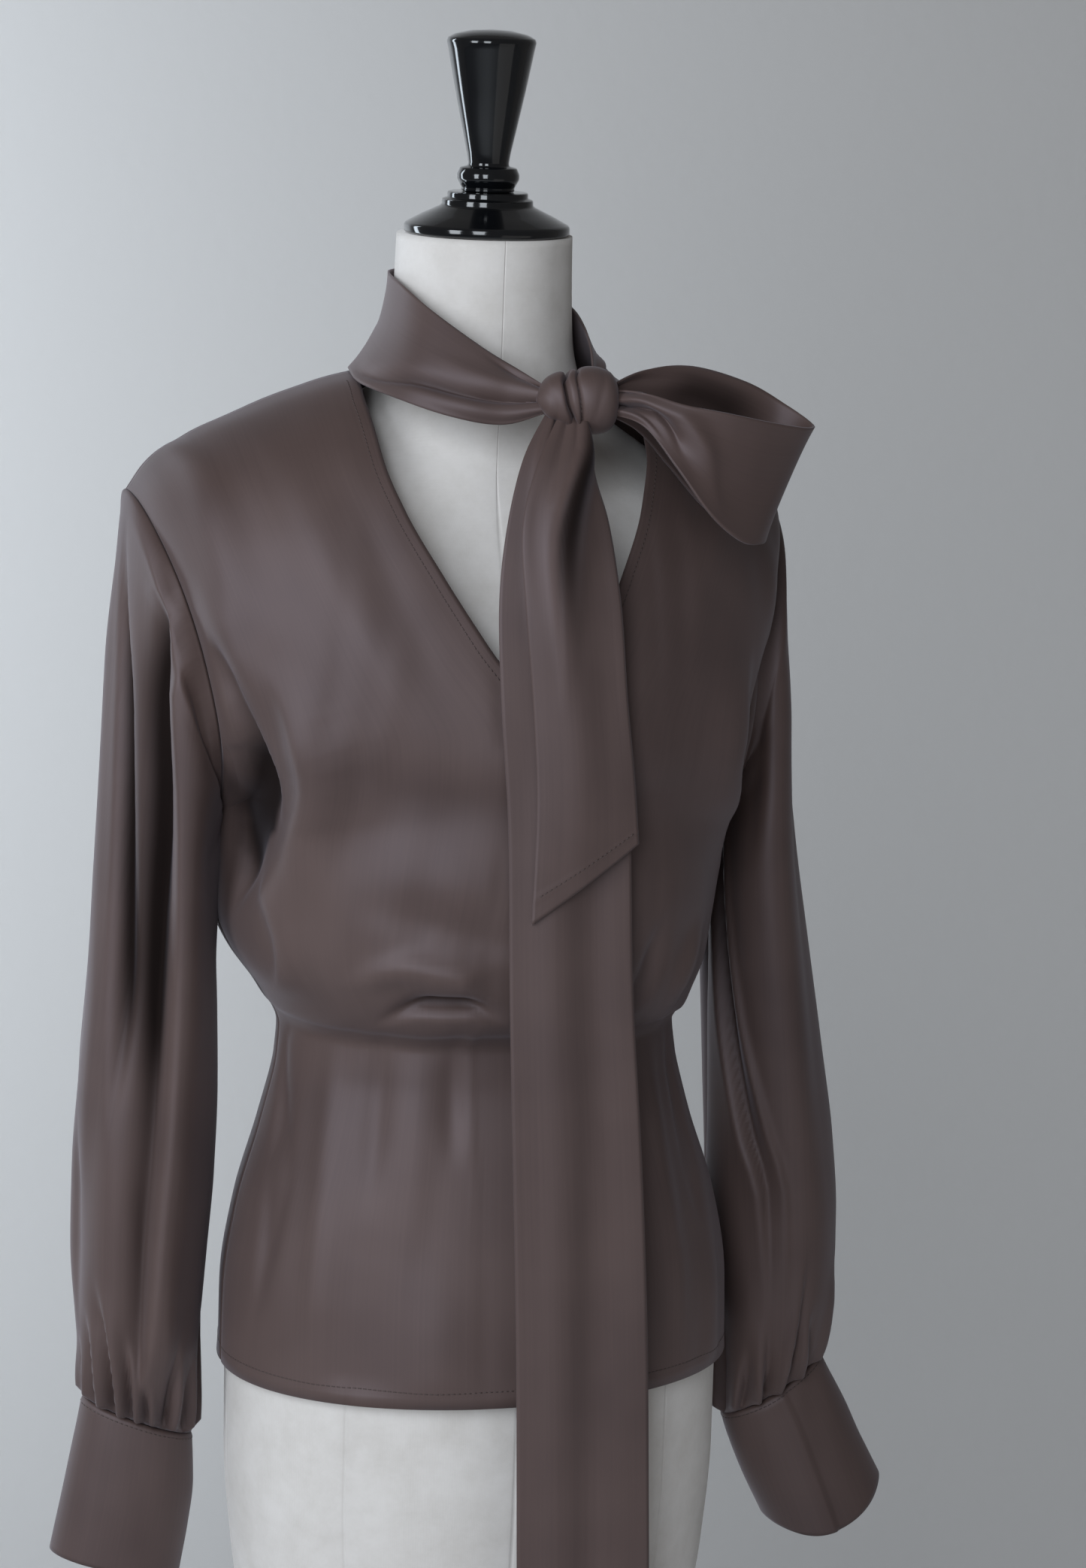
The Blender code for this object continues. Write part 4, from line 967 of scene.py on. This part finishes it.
def makeSleeve(name, rows, folds, pleats, side):
    length = rows[-1][0]

    def place(u, v):
        return sleevePoints(rows, side, *roundDown(u, v, side, length))

    def height(u, v, points, normals):
        # a degree round counts as a millimetre on the folds' lines
        turn, down = roundDown(u, v, side, length)
        laidFolds = layFolds(folds, np.stack([turn * mm, points[:, 2]], axis=1), points)
        lift = foldHeight(laidFolds, points, normals) + softDrift(points)
        lift *= ease(0, sleeveCut["headHeld"], down) * ease(0, sleeveCut["cuffHeld"], length - down)
        lift += pleatHeight(pleats, turn, length - down)
        # painted shade from the fold depth, weaker lower down the sleeve
        shadePainted = 1 - sleeveCut["paintedShadeWeaker"] * ease(*sleeveCut["paintedShadeFadesDown"], down)
        return lift - sewnEdge["dip"] * bump(length - down, sewnEdge["width"]), -shadePainted * lift

    work = bmesh.new()
    laidGrid(work, sleeveCut["around"], sleeveCut["rows"], place, height, size=sleeveCut["flat"])
    return finishCloth(name, work, sleeveCut)


def makeCuff(name, rows, side, drop):
    last = len(rows) - 1

    def place(u, v):
        turn, at = roundDown(u, v, side, last)
        return ringPoints(byRow(rows, at), turn, side, drop * (at / last) ** 2)

    def height(u, v, points, normals):
        turn, at = roundDown(u, v, side, last)
        away = turn - cuffCut["lapTurn"]
        lap = (0.5 + 0.5 * np.tanh(away / cuffCut["lapEdge"])) * (1 - ease(*cuffCut["lapFades"], away))
        lap *= ease(0, cuffCut["lapFrom"], at)
        seam = cuffCut["seam"] * bump(at * cuffCut["rowGap"], cuffCut["seamWidth"])
        drifted = softDrift(points) * ease(0, cuffCut["driftFrom"], at)
        return drifted + cuffCut["lap"] * (side > 0) * lap - seam

    work = bmesh.new()
    laidGrid(work, cuffCut["around"], cuffCut["rows"], place, height, size=cuffCut["flat"])
    return finishCloth(name, work, cuffCut)


sleeveRight = makeSleeve("sleeve_right", rightSleeveRows, rightSleeveFolds, rightPleats, -1)
sleeveLeft = makeSleeve("sleeve_left", leftSleeveRows, leftSleeveFolds, leftPleats, 1)
cuffRight = makeCuff("cuff_right", rightCuffRows, -1, 0.0)
cuffLeft = makeCuff("cuff_left", leftCuffRows, 1, cuffCut["leftDrop"])
print("sleeves and cuffs laid")


# the tie: stations of low x y z, high x y z and swell

bandRows = metres((
    (13, -108, 1440, 13, -107.5, 1454, -1), (-12, -100, 1432.5, -1, -90, 1464, -4),
    (-41.4, -93, 1436.5, -19, -80, 1475.5, -4), (-68.7, -74, 1446, -43, -60, 1495, -1),
    (-85, -37, 1455, -56.5, -28, 1512, 5), (-78.7, 12, 1462.1, -57.5, 6, 1519.5, 6),
    (-64.5, 44.7, 1458.7, -47.5, 35, 1522.5, 4), (-35, 64, 1454.7, -28, 55, 1524, 2),
    (0, 70, 1453.5, 0, 62, 1524, 1), (35, 64, 1454.7, 27, 54, 1520, 2),
    (64.5, 44.7, 1458.7, 46, 33, 1512, 4), (78.7, 12, 1462.1, 55.8, 3, 1501, 6),
    (80, -30, 1455, 56, -27, 1489, 4), (72, -64, 1446, 52, -56, 1477, 1),
    (54, -85, 1440, 47, -80, 1465, 0),
))
# between these stations the band is sewn to the neckline
sewnStations = (5, 11)
loopRows = metres((
    (47, -107, 1440, 47, -106.5, 1454, 0), (70, -100, 1429, 74, -97, 1465, -2),
    (90, -96, 1409, 105, -88, 1467.5, -5), (113, -97, 1384, 140, -87, 1458.5, -7),
    (133, -104, 1372, 164, -93, 1445, -5), (142.5, -118, 1369, 174, -109, 1435, 0),
    (136, -133, 1365.5, 165, -127, 1433, 5), (120, -144, 1368, 140, -140, 1436, 8),
    (100, -149, 1383, 112, -147, 1441, 8), (80, -145, 1410, 85, -143, 1446, 5),
    (64, -130, 1433, 65, -128, 1452, 2), (47, -112, 1440, 47, -112, 1453, 1),
))
shortRows = metres((
    (19, -111, 1440, 32, -111, 1440, 1), (0, -130, 1408, 34.5, -130, 1406, 5),
    (-10.5, -142, 1374, 41.5, -140, 1377, 7), (-9, -148.5, 1327, 47.5, -147.5, 1332, 6),
    (-4, -149.5, 1272, 52, -149, 1278, 5), (-1, -150, 1215, 57, -149.5, 1232, 4),
    (-3, -150, 1147, 60.5, -149.5, 1193, 3),
))
longRows = metres((
    (13, -106.5, 1442, 25, -106.5, 1440, 0), (-5, -120, 1413, 29, -120, 1410, 2),
    (-17, -132, 1374, 40, -132, 1374, 2), (-23, -141, 1330, 46, -141, 1330, 2),
    (-21.5, -145.3, 1270, 52, -145.3, 1270, 2), (-16.5, -145.3, 1200, 56.5, -145.3, 1200, 2),
    (-14, -145.3, 1100, 60.5, -145.3, 1100, 2), (-10.5, -145.3, 1000, 68, -145.3, 1000, 2),
    (-7, -145.3, 900, 73.5, -145.3, 900, 2), (-5, -145.3, 800, 76.5, -145.3, 800, 2),
    (-3.5, -145.3, 700, 79, -145.3, 700, 2), (-3, -145.3, 580, 80, -145.3, 630, 2),
))


tieCut = {
    "wall": 0.0013, "across": 36, "step": 0.05, "edge": 0.012, "edgeKept": 0.004, "hemGroove": 0.0004,
    "hemWidth": 0.0008,
}


def stripPlace(rows, sewn=None):
    last = len(rows) - 1

    def edges(at):
        columns = [looseCurve(column, at) for column in rows.T]
        low, high = np.stack(columns[:3], axis=1), np.stack(columns[3:6], axis=1)
        if sewn:
            share = np.clip(1 - np.maximum.reduce([sewn[0] - at, at - sewn[1], np.zeros_like(at)]), 0, 1)
            low = low + (settle(low) - low) * share[:, None]
        return low, high, columns[6]

    def place(u, v):
        at = np.clip(v, 0, 1) * last
        low, high, swell = edges(at)
        before, after = [edges(np.clip(at + step, 0, last)) for step in (-tieCut["step"], tieCut["step"])]
        normal = np.cross(after[0] + after[1] - before[0] - before[1], high - low)
        normal /= np.maximum(np.linalg.norm(normal, axis=1, keepdims=True), 1e-12)
        return low + (high - low) * u[:, None] + normal * (swell * 4 * u * (1 - u))[:, None]

    return place


# folds of the tie: line of (share across, station), width on its left and on its right, height
bandFolds = (
    (((0.46, -1), (0.4, 0.6), (0.33, 1.6), (0.27, 2.6), (0.12, 3.7), (0, 5.2)), 3.4, 6.4, -5.6),
    (((0.72, -1), (0.66, 0.6), (0.6, 1.6), (0.56, 3)), 11, 9, 3),
    (((0.18, -1), (0.18, 0.6), (0.15, 1.6), (0.12, 3.2)), 6.4, 7.4, 3.4),
    (((0.92, -1), (0.88, 0.6), (0.94, 2.2)), 4, 4, -2.4),
    (((0.35, 15), (0.4, 13.4), (0.52, 12)), 4.5, 5, -4.2),
    (((0.66, 15), (0.7, 13.5), (0.66, 12.2)), 5, 5, 3.6),
    (((0.5, 4.4), (0.56, 6.5), (0.5, 8.5), (0.56, 11.4)), 9, 11, -2.6),
)
loopFolds = (
    # the front layer: a curled fold out of the knot that turns down, and the hollows on both sides of it
    (((0.6, 12), (0.66, 10.6), (0.84, 9.9), (0.84, 9.2), (0.62, 8.6), (0.26, 8.1), (0.05, 7.6)), 10, 15, 6),
    (((0.44, 12), (0.46, 10.5), (0.6, 9.75), (0.48, 9.25), (0.18, 8.95)), 6, 7, -5),
    (((0.96, 12), (0.94, 10.4), (0.99, 9.4)), 5, 5, -3.6),
    (((0.2, 12), (0.18, 10.5), (0.08, 9.4)), 6, 7, 2.8),
    (((0.56, 9), (0.64, 7.6), (0.76, 6)), 18, 18, 2.6),
    # the back layer
    (((0.42, -1), (0.46, 0.8), (0.62, 2.8)), 7, 10, -5),
    (((0.82, -1), (0.84, 1), (0.92, 2.8)), 7, 8, 3),
    (((0.84, 0.4), (0.82, 1.8), (0.76, 2.9), (0.66, 4.2)), 16, 20, -8.5),
)
shortFolds = (
    (((1, -1), (0.84, 0.6), (0.6, 1.4), (0.4, 2.4), (0.32, 4.2)), 5.6, 11, -10.5),
    (((0.46, -1), (0.34, 0.8), (0.19, 1.8), (0.15, 3.6)), 11, 9, 2.6),
    (((0.86, 0.4), (0.8, 1.8), (0.74, 3.6), (0.72, 5.8)), 16, 14, 2.4),
    (((0.5, 2.6), (0.46, 4), (0.42, 6.4)), 12, 14, -1.4),
)
longFolds = (
    (((0.3, -1), (0.34, 1.4), (0.36, 4.2)), 8, 8, -4.4),
    (((0.74, 3.6), (0.68, 6.2), (0.7, 9.2)), 16, 15, 3),
    (((0.32, 3.8), (0.38, 6.6), (0.34, 9), (0.38, 11.6)), 15, 16, -2.8),
    (((0.56, 6.4), (0.52, 9), (0.54, 12)), 12, 12, 2.4),
)
# each strip's flat width and length, its rows of faces and, where it is hemmed, how far in its stitches lie
strips = {
    "neck_band": {
        "rows": bandRows, "folds": bandFolds, "wide": 62, "long": 500, "steps": 190, "sewn": sewnStations,
    },
    "tie_loop": {"rows": loopRows, "folds": loopFolds, "wide": 70, "long": 240, "steps": 160},
    "tie_short_end": {
        "rows": shortRows, "folds": shortFolds, "wide": 60, "long": 290, "steps": 150, "hem": 10,
    },
    "tie_long_end": {"rows": longRows, "folds": longFolds, "wide": 80, "long": 860, "steps": 220, "hem": 10},
}


def makeStrip(name):
    strip = strips[name]
    wide, long, stations = strip["wide"], strip["long"], len(strip["rows"]) - 1
    folds = [([(u * wide, at * long / stations) for u, at in line], *rest) for line, *rest in strip["folds"]]

    def height(u, v, points, normals):
        # the folds are laid on the flat strip, which has no bends of its own
        flat = mm * np.stack([u * wide, v * long, np.zeros_like(u)], axis=1)
        total = foldHeight(layFolds(folds, flat[:, :2], flat), flat, np.tile((0.0, 0.0, 1.0), (len(u), 1)))
        total *= ease(0, tieCut["edge"], mm * wide * np.minimum(u, 1 - u) + tieCut["edgeKept"])
        if "hem" in strip:
            total -= tieCut["hemGroove"] * bump(mm * ((1 - v) * long - strip["hem"]), tieCut["hemWidth"])
        return total

    work = bmesh.new()
    place = stripPlace(strip["rows"], strip.get("sewn"))
    laidGrid(work, tieCut["across"], strip["steps"], place, height, size=(mm * wide, mm * long))
    return finishCloth(name, work, tieCut, offset=0.0)


neckBand = makeStrip("neck_band")
tieLoop = makeStrip("tie_loop")
tieShort = makeStrip("tie_short_end")
tieLong = makeStrip("tie_long_end")
print("tie laid")


# the knot's shape; one value scales the painted shade in its creases
knotCut = {
    "centre": (0.0295, -0.1080, 1.4470), "half": (0.0240, 0.0160, 0.0178), "leftEnd": 2.3, "rightEnd": 3.6,
    "around": 128, "along": 110, "swell": 0.0024, "inset": 0.0018, "creasePaintedShade": 2.2, "ends": 0.35, "girth": 0.11,
    "tuck": 0.0040, "tuckTurn": -95, "tuckWide": 45, "tuckFades": (0.001, 0.010),
}
# three wraps, each lapping over its neighbour on the left, and how much each stands out
knotWraps = (-0.6, -0.4, 1.6)
# creases: how far across the knot each lies at those degrees round from the front, its depth and width
knotTurns = (-180, -90, -45, 0, 45, 90, 180)
knotEdges = (
    ((20, 31, 25.8, 21.2, 20, 23.6, 20), 3.4, 1.5),
    ((30, 33, 30.4, 28.4, 27, 30, 30), 1.3, 0.8),
)
knotCreases = (
    ((10, 16, 16, 13, 9, 8, 10), 0.6, 2),
    ((44, 38, 36, 39, 43, 46, 44), 0.4, 2.6),
)


def knotHeight(x, turn):
    low, high = [knotCut["centre"][0] + way * knotCut["half"][0] for way in (-1, 1)]
    creases = [(mm * gentleCurve(knotTurns, places, turn), deep * mm, wide * mm)
               for places, deep, wide in knotEdges + knotCreases]
    laps = [crease[0] for crease in creases[:len(knotEdges)]]
    height = np.zeros_like(x)
    for left, right, lift in zip([np.full_like(x, low)] + laps, laps + [np.full_like(x, high)], knotWraps):
        across = np.clip((x - left) / np.maximum(right - left, mm), 0, 1)
        bowed = 1 - np.abs(2 * across - 1) ** 4
        height += np.where((x >= left) & (x < right), knotCut["swell"] * bowed + lift * mm, 0)
    for place, deep, wide in creases:
        height -= deep * bump(x - place, wide)
    tuck = bump(turn - knotCut["tuckTurn"], knotCut["tuckWide"]) * ease(*knotCut["tuckFades"], laps[0] - x)
    return height - knotCut["tuck"] * tuck - knotCut["inset"]


def makeKnot():
    work = bmesh.new()
    depth = work.verts.layers.float.new("depthForPaintedShade")
    bmesh.ops.create_uvsphere(work, u_segments=knotCut["around"], v_segments=knotCut["along"], radius=1.0,
                              matrix=Matrix.Rotation(math.pi / 2, 4, "Y"))
    points = np.array([vert.co for vert in work.verts])
    turn = np.degrees(np.arctan2(points[:, 2], -points[:, 1]))
    share = np.arcsin(np.clip(points[:, 0], -1, 1)) / (math.pi / 2)
    power = np.where(share < 0, knotCut["leftEnd"], knotCut["rightEnd"])
    profile = np.maximum(1 - np.abs(share) ** power, 0) ** (1 / power)
    x = knotCut["centre"][0] + share * knotCut["half"][0]
    lift = knotHeight(x, turn) * ease(0, knotCut["ends"], profile)
    y = -np.cos(np.radians(turn)) * (profile * knotCut["half"][1] + lift * (profile > 0))
    z = np.sin(np.radians(turn)) * (profile * knotCut["half"][2] + lift * (profile > 0))
    layer = work.loops.layers.uv.verify()
    for vert, px, py, pz, angle, raised in zip(work.verts, x, y, z, turn, lift):
        vert.co = Vector((px, knotCut["centre"][1] + py, knotCut["centre"][2] + pz))
        # painted shade: how far the point lies sunk in a crease darkens the satin there
        vert[depth] = knotCut["creasePaintedShade"] * max(0.0, -raised - knotCut["inset"])
        for loop in vert.link_loops:
            loop[layer].uv = (px, angle / 360 * knotCut["girth"])
    return finishPiece("tie_knot_cloth", "tie_knot", work, satin)


makeKnot()
print("knot tied")


# turned wood and the stand: radius and height, from the top down

turned = {
    "finial": ((0, 120), (12, 119.3), (21.5, 117.2), (26, 114.8), (26.8, 112.8), (25.8, 108.5), (21.2, 85),
               (16.5, 63), (13.2, 48), (12.2, 41.8), (12.6, 40.2), (17, 39.2), (18.7, 35.5), (18.7, 32.5),
               (16.8, 29), (16, 27.8), (16, 25.3), (0, 25.3)),
    "neck_cap": ((0, 25), (23.5, 25), (24.3, 24.3), (24.3, 21.5), (26.8, 20.8), (27.5, 20), (27.5, 17.2),
                 (29, 16.2), (39, 11.5), (49, 6.2), (50, 5), (50, 1), (49, 0.3), (0, 0.3)),
    "stand_pole": ((0, 679.4), (16, 679.4), (16, 48.6), (28, 30.6), (30, 18.6), (0, 18.6)),
    "stand_base": ((0, 18), (160, 18), (176, 14), (180, 10), (180, 2), (178, 0), (0, 0)),
}
turnedCut = {"steps": 96, "weld": 0.00001, "sharp": 0.35, "bevel": 0.0006}


def makeTurned(node, piece, material, tilted):
    work = bmesh.new()
    verts = [work.verts.new((radius * mm, 0, height * mm)) for radius, height in turned[node]]
    edges = [work.edges.new(pair) for pair in zip(verts, verts[1:])]
    bmesh.ops.spin(work, geom=verts + edges, cent=(0, 0, 0), axis=(0, 0, 1), angle=2 * math.pi,
                   steps=turnedCut["steps"], use_merge=True)
    bmesh.ops.remove_doubles(work, verts=work.verts, dist=turnedCut["weld"])
    bmesh.ops.recalc_face_normals(work, faces=work.faces)
    sharp = [edge for edge in work.edges
             if len(edge.link_faces) == 2 and edge.calc_face_angle() > turnedCut["sharp"]]
    bmesh.ops.bevel(work, geom=sharp, offset=turnedCut["bevel"], offset_type="OFFSET", segments=2,
                    profile=0.5, affect="EDGES", material=-1)
    if tilted:
        move = Matrix.Translation(Vector(formCut["seat"]))
        lean = Matrix.Rotation(formCut["tip"], 4, "Y") @ Matrix.Rotation(formCut["tilt"], 4, "X")
        bmesh.ops.transform(work, matrix=move @ lean, verts=work.verts)
    finishPiece(piece, node, work, material)


makeTurned("finial", "finialTurned", lacquer, True)
makeTurned("neck_cap", "neckCap", lacquer, True)
makeTurned("stand_pole", "standPole", standMetal, False)
makeTurned("stand_base", "standBase", standMetal, False)
print("stand turned")


# stitches: real dashes of thread, laid on the finished cloth

stitch = {
    "long": 0.0022, "every": 0.0032, "wide": 0.00055, "thick": 0.00035, "above": 0.004, "ahead": 0.0004,
    "middleY": 0.01,
}
threadLook = {"Roughness": 0.6, "Specular IOR Level": 0.4}
threadColours = {"deep": (0.050, 0.034, 0.031, 1.0), "light": (0.085, 0.060, 0.056, 1.0)}
threadNoise = (2600.0, 2.0)


def makeThread():
    material, nodes, links, shader = newMaterial("sewingThread", threadLook)
    place = addNode(nodes, "ShaderNodeTexCoord")
    noise = addNoise(nodes, *threadNoise)
    tones = addTones(nodes, threadColours)
    wire(links, (place, "Object", noise, "Vector"), (noise, "Fac", tones, "Fac"),
         (tones, "Color", shader, "Base Color"))
    return material


def sew(work, cloth, line, outward):
    # dashes along a line of points, each one dropped on to the cloth from outside it
    tree = BVHTree.FromObject(cloth, bpy.context.evaluated_depsgraph_get())
    lengths = np.concatenate(([0], np.cumsum(np.linalg.norm(np.diff(line, axis=0), axis=1))))
    for at in np.arange(stitch["every"], lengths[-1] - stitch["every"] / 2, stitch["every"]):
        middle, ahead = [Vector([np.interp(place, lengths, line[:, k]) for k in range(3)])
                         for place in (at, at + stitch["ahead"])]
        away = Vector(outward(middle)).normalized()
        spot, normal, _, _ = tree.ray_cast(middle + 3 * stitch["above"] * away, -away, 6 * stitch["above"])
        if spot is None:
            continue
        along = (ahead - middle).normalized()
        along = (along - normal * along.dot(normal)).normalized()
        turn = Matrix((along, normal.cross(along), normal)).transposed().to_4x4()
        size = Matrix.Diagonal((stitch["long"], stitch["wide"], stitch["thick"], 1.0))
        bmesh.ops.create_cube(work, size=1.0, matrix=Matrix.Translation(spot) @ turn @ size)


def fromMiddle(point):
    return point.x, point.y - stitch["middleY"], 0.0


def toFront(point):
    return 0.0, -1.0, 0.0


def fromAxis(row, side):
    middle = Vector((side * (row[0] + row[2]) / 2, (row[4] + row[5]) / 2, (row[1] + row[3]) / 2))
    return lambda point: point - middle


seams = {
    "steps": 160, "hemRow": 0.0077, "vShare": 0.036, "vFrom": 120.0, "vTo": 0.975, "cuffDown": 0.12,
    "tieIn": 0.03,
}


def sewBlouse():
    work = bmesh.new()
    steps = np.linspace(0, 1, seams["steps"])

    def level(value):
        return np.full_like(steps, value)

    for side in (-1, 1):
        sew(work, front, frontPoints(side, steps, level(seams["hemRow"])), fromMiddle)
        sew(work, back, backPoints(side, steps, level(seams["hemRow"])), fromMiddle)
        start = 1 - (1 - panel["lowShare"]) * seams["vFrom"] / 180
        line = frontPoints(side, level(seams["vShare"]), start + (seams["vTo"] - start) * steps)
        sew(work, front, line, toFront)
    for cloth, rows, side in ((cuffRight, rightCuffRows, -1), (cuffLeft, leftCuffRows, 1)):
        columns = rows[0] + seams["cuffDown"] * (rows[1] - rows[0])
        ring = ringPoints([level(value) for value in columns], 360 * steps, side)
        sew(work, cloth, ring, fromAxis(rows[0], side))
    for cloth, name in ((tieShort, "tie_short_end"), (tieLong, "tie_long_end")):
        strip = strips[name]
        place = stripPlace(strip["rows"])
        across = seams["tieIn"] + (1 - 2 * seams["tieIn"]) * steps
        sew(work, cloth, place(across, level(1 - strip["hem"] / strip["long"])), toFront)
    finishPiece("stitches", None, work, makeThread())


sewBlouse()
print("stitches sewn")


# floor, wall, light and camera

view = {
    "azimuth": math.radians(-15.0), "distance": 2.0, "height": 1.49, "down": math.radians(8.0),
    "roll": math.radians(1.0), "aside": 0.041, "lens": 75.0, "sensor": 36.0,
}
room = {
    "floorSize": 9.0, "wallBehind": 1.75, "wallHeight": 4.0, "wallSide": 7.0,
    "floorColour": (0.62, 0.63, 0.64, 1.0), "wallColour": (0.455, 0.438, 0.426, 1.0),
    "airColour": (0.88, 0.87, 0.86, 1.0), "airLight": 0.16, "plaster": (60.0, 4.0),
    "relief": {"Strength": 0.15, "Distance": 0.002}, "paint": {"Roughness": 0.9, "Specular IOR Level": 0.2},
}


def viewAxes():
    towards = Vector((math.sin(view["azimuth"]), -math.cos(view["azimuth"]), 0))
    right = Vector((math.cos(view["azimuth"]), math.sin(view["azimuth"]), 0))
    return towards, right


def makeCamera():
    towards, right = viewAxes()
    ahead = -towards * math.cos(view["down"]) - Vector((0, 0, math.sin(view["down"])))
    up = right.cross(ahead)
    rightRolled = right * math.cos(view["roll"]) + up * math.sin(view["roll"])
    upRolled = up * math.cos(view["roll"]) - right * math.sin(view["roll"])
    data = bpy.data.cameras.new("camera")
    data.lens = view["lens"]
    data.sensor_fit = "VERTICAL"
    data.sensor_height = view["sensor"]
    camera = bpy.data.objects.new("camera", data)
    bpy.context.scene.collection.objects.link(camera)
    turn = Matrix((rightRolled, upRolled, -ahead)).transposed()
    spot = towards * view["distance"] + right * view["aside"] + Vector((0, 0, view["height"]))
    camera.matrix_world = Matrix.Translation(spot) @ turn.to_4x4()
    bpy.context.scene.camera = camera


def plainPaint(name, colour, clearFromBehind=False):
    material, nodes, links, shader = newMaterial(name, dict(room["paint"], **{"Base Color": colour}))
    place = addNode(nodes, "ShaderNodeTexCoord")
    noise = addNoise(nodes, *room["plaster"])
    relief = addNode(nodes, "ShaderNodeBump", room["relief"])
    wire(links, (place, "Object", noise, "Vector"), (noise, "Fac", relief, "Height"),
         (relief, "Normal", shader, "Normal"))
    if clearFromBehind:
        facing = addNode(nodes, "ShaderNodeNewGeometry")
        clear = addNode(nodes, "ShaderNodeBsdfTransparent")
        mix = addNode(nodes, "ShaderNodeMixShader")
        wire(links, (facing, "Backfacing", mix, "Fac"), (shader, "BSDF", mix, 1), (clear, "BSDF", mix, 2),
             (mix, "Shader", nodes["Material Output"], "Surface"))
    return material


def makeFlat(name, material, middle, across, along):
    work = bmesh.new()
    bmesh.ops.create_grid(work, x_segments=2, y_segments=2, size=0.5)
    for vert in work.verts:
        vert.co = middle + vert.co.x * across + vert.co.y * along
    mesh = bpy.data.meshes.new(name)
    work.to_mesh(mesh)
    work.free()
    mesh.materials.append(material)
    piece = bpy.data.objects.new(name, mesh)
    bpy.context.scene.collection.objects.link(piece)


def makeRoom():
    towards, right = viewAxes()
    size, height = room["floorSize"], room["wallHeight"]
    paint = plainPaint("paleFloor", room["floorColour"])
    makeFlat("floor", paint, Vector((0, 0, 0)), Vector((size, 0, 0)), Vector((0, size, 0)))
    paint = plainPaint("paleWall", room["wallColour"], clearFromBehind=True)
    middle = Vector((0, 0, height / 2)) - towards * room["wallBehind"]
    makeFlat("wall", paint, middle, right * room["wallSide"], Vector((0, 0, height)))


lamps = {
    "nearPane": {"place": (-1.12, -2.50, 2.00), "aim": (0.0, 0.0, 1.22), "size": (0.80, 2.1), "power": 38.0,
                 "colour": (0.87, 0.935, 1.0)},
    "farPane": {"place": (-2.36, -1.48, 2.00), "aim": (0.0, 0.0, 1.22), "size": (0.80, 2.1), "power": 42.0,
                "colour": (0.87, 0.935, 1.0)},
    "wallWash": {"place": (-1.45, 1.15, 1.45), "aim": (-0.25, 1.82, 1.25), "size": (0.8, 2.2), "power": 43.0,
                 "colour": (0.80, 0.90, 1.0)},
    "floorBounce": {"place": (0.9, -1.6, 0.35), "aim": (0.0, 0.0, 1.0), "size": (1.6, 1.6), "power": 2.0,
                    "colour": (1.0, 0.96, 0.92)},
}


def makeLamp(name):
    lamp = lamps[name]
    data = bpy.data.lights.new(name, "AREA")
    data.shape = "RECTANGLE"
    data.size, data.size_y = lamp["size"]
    data.energy = lamp["power"]
    data.color = lamp["colour"]
    made = bpy.data.objects.new(name, data)
    made.location = lamp["place"]
    aim = Vector(lamp["aim"]) - Vector(lamp["place"])
    made.rotation_euler = aim.to_track_quat("-Z", "Y").to_euler()
    bpy.context.scene.collection.objects.link(made)


def makeWorld():
    world = bpy.data.worlds.new("softRoom")
    bpy.context.scene.world = world
    world.use_nodes = True
    air = world.node_tree.nodes["Background"]
    air.inputs["Color"].default_value = room["airColour"]
    air.inputs["Strength"].default_value = room["airLight"]


bpy.context.scene.view_settings.view_transform = "Standard"
makeCamera()
makeRoom()
for lampName in lamps:
    makeLamp(lampName)
makeWorld()
print("room lit")
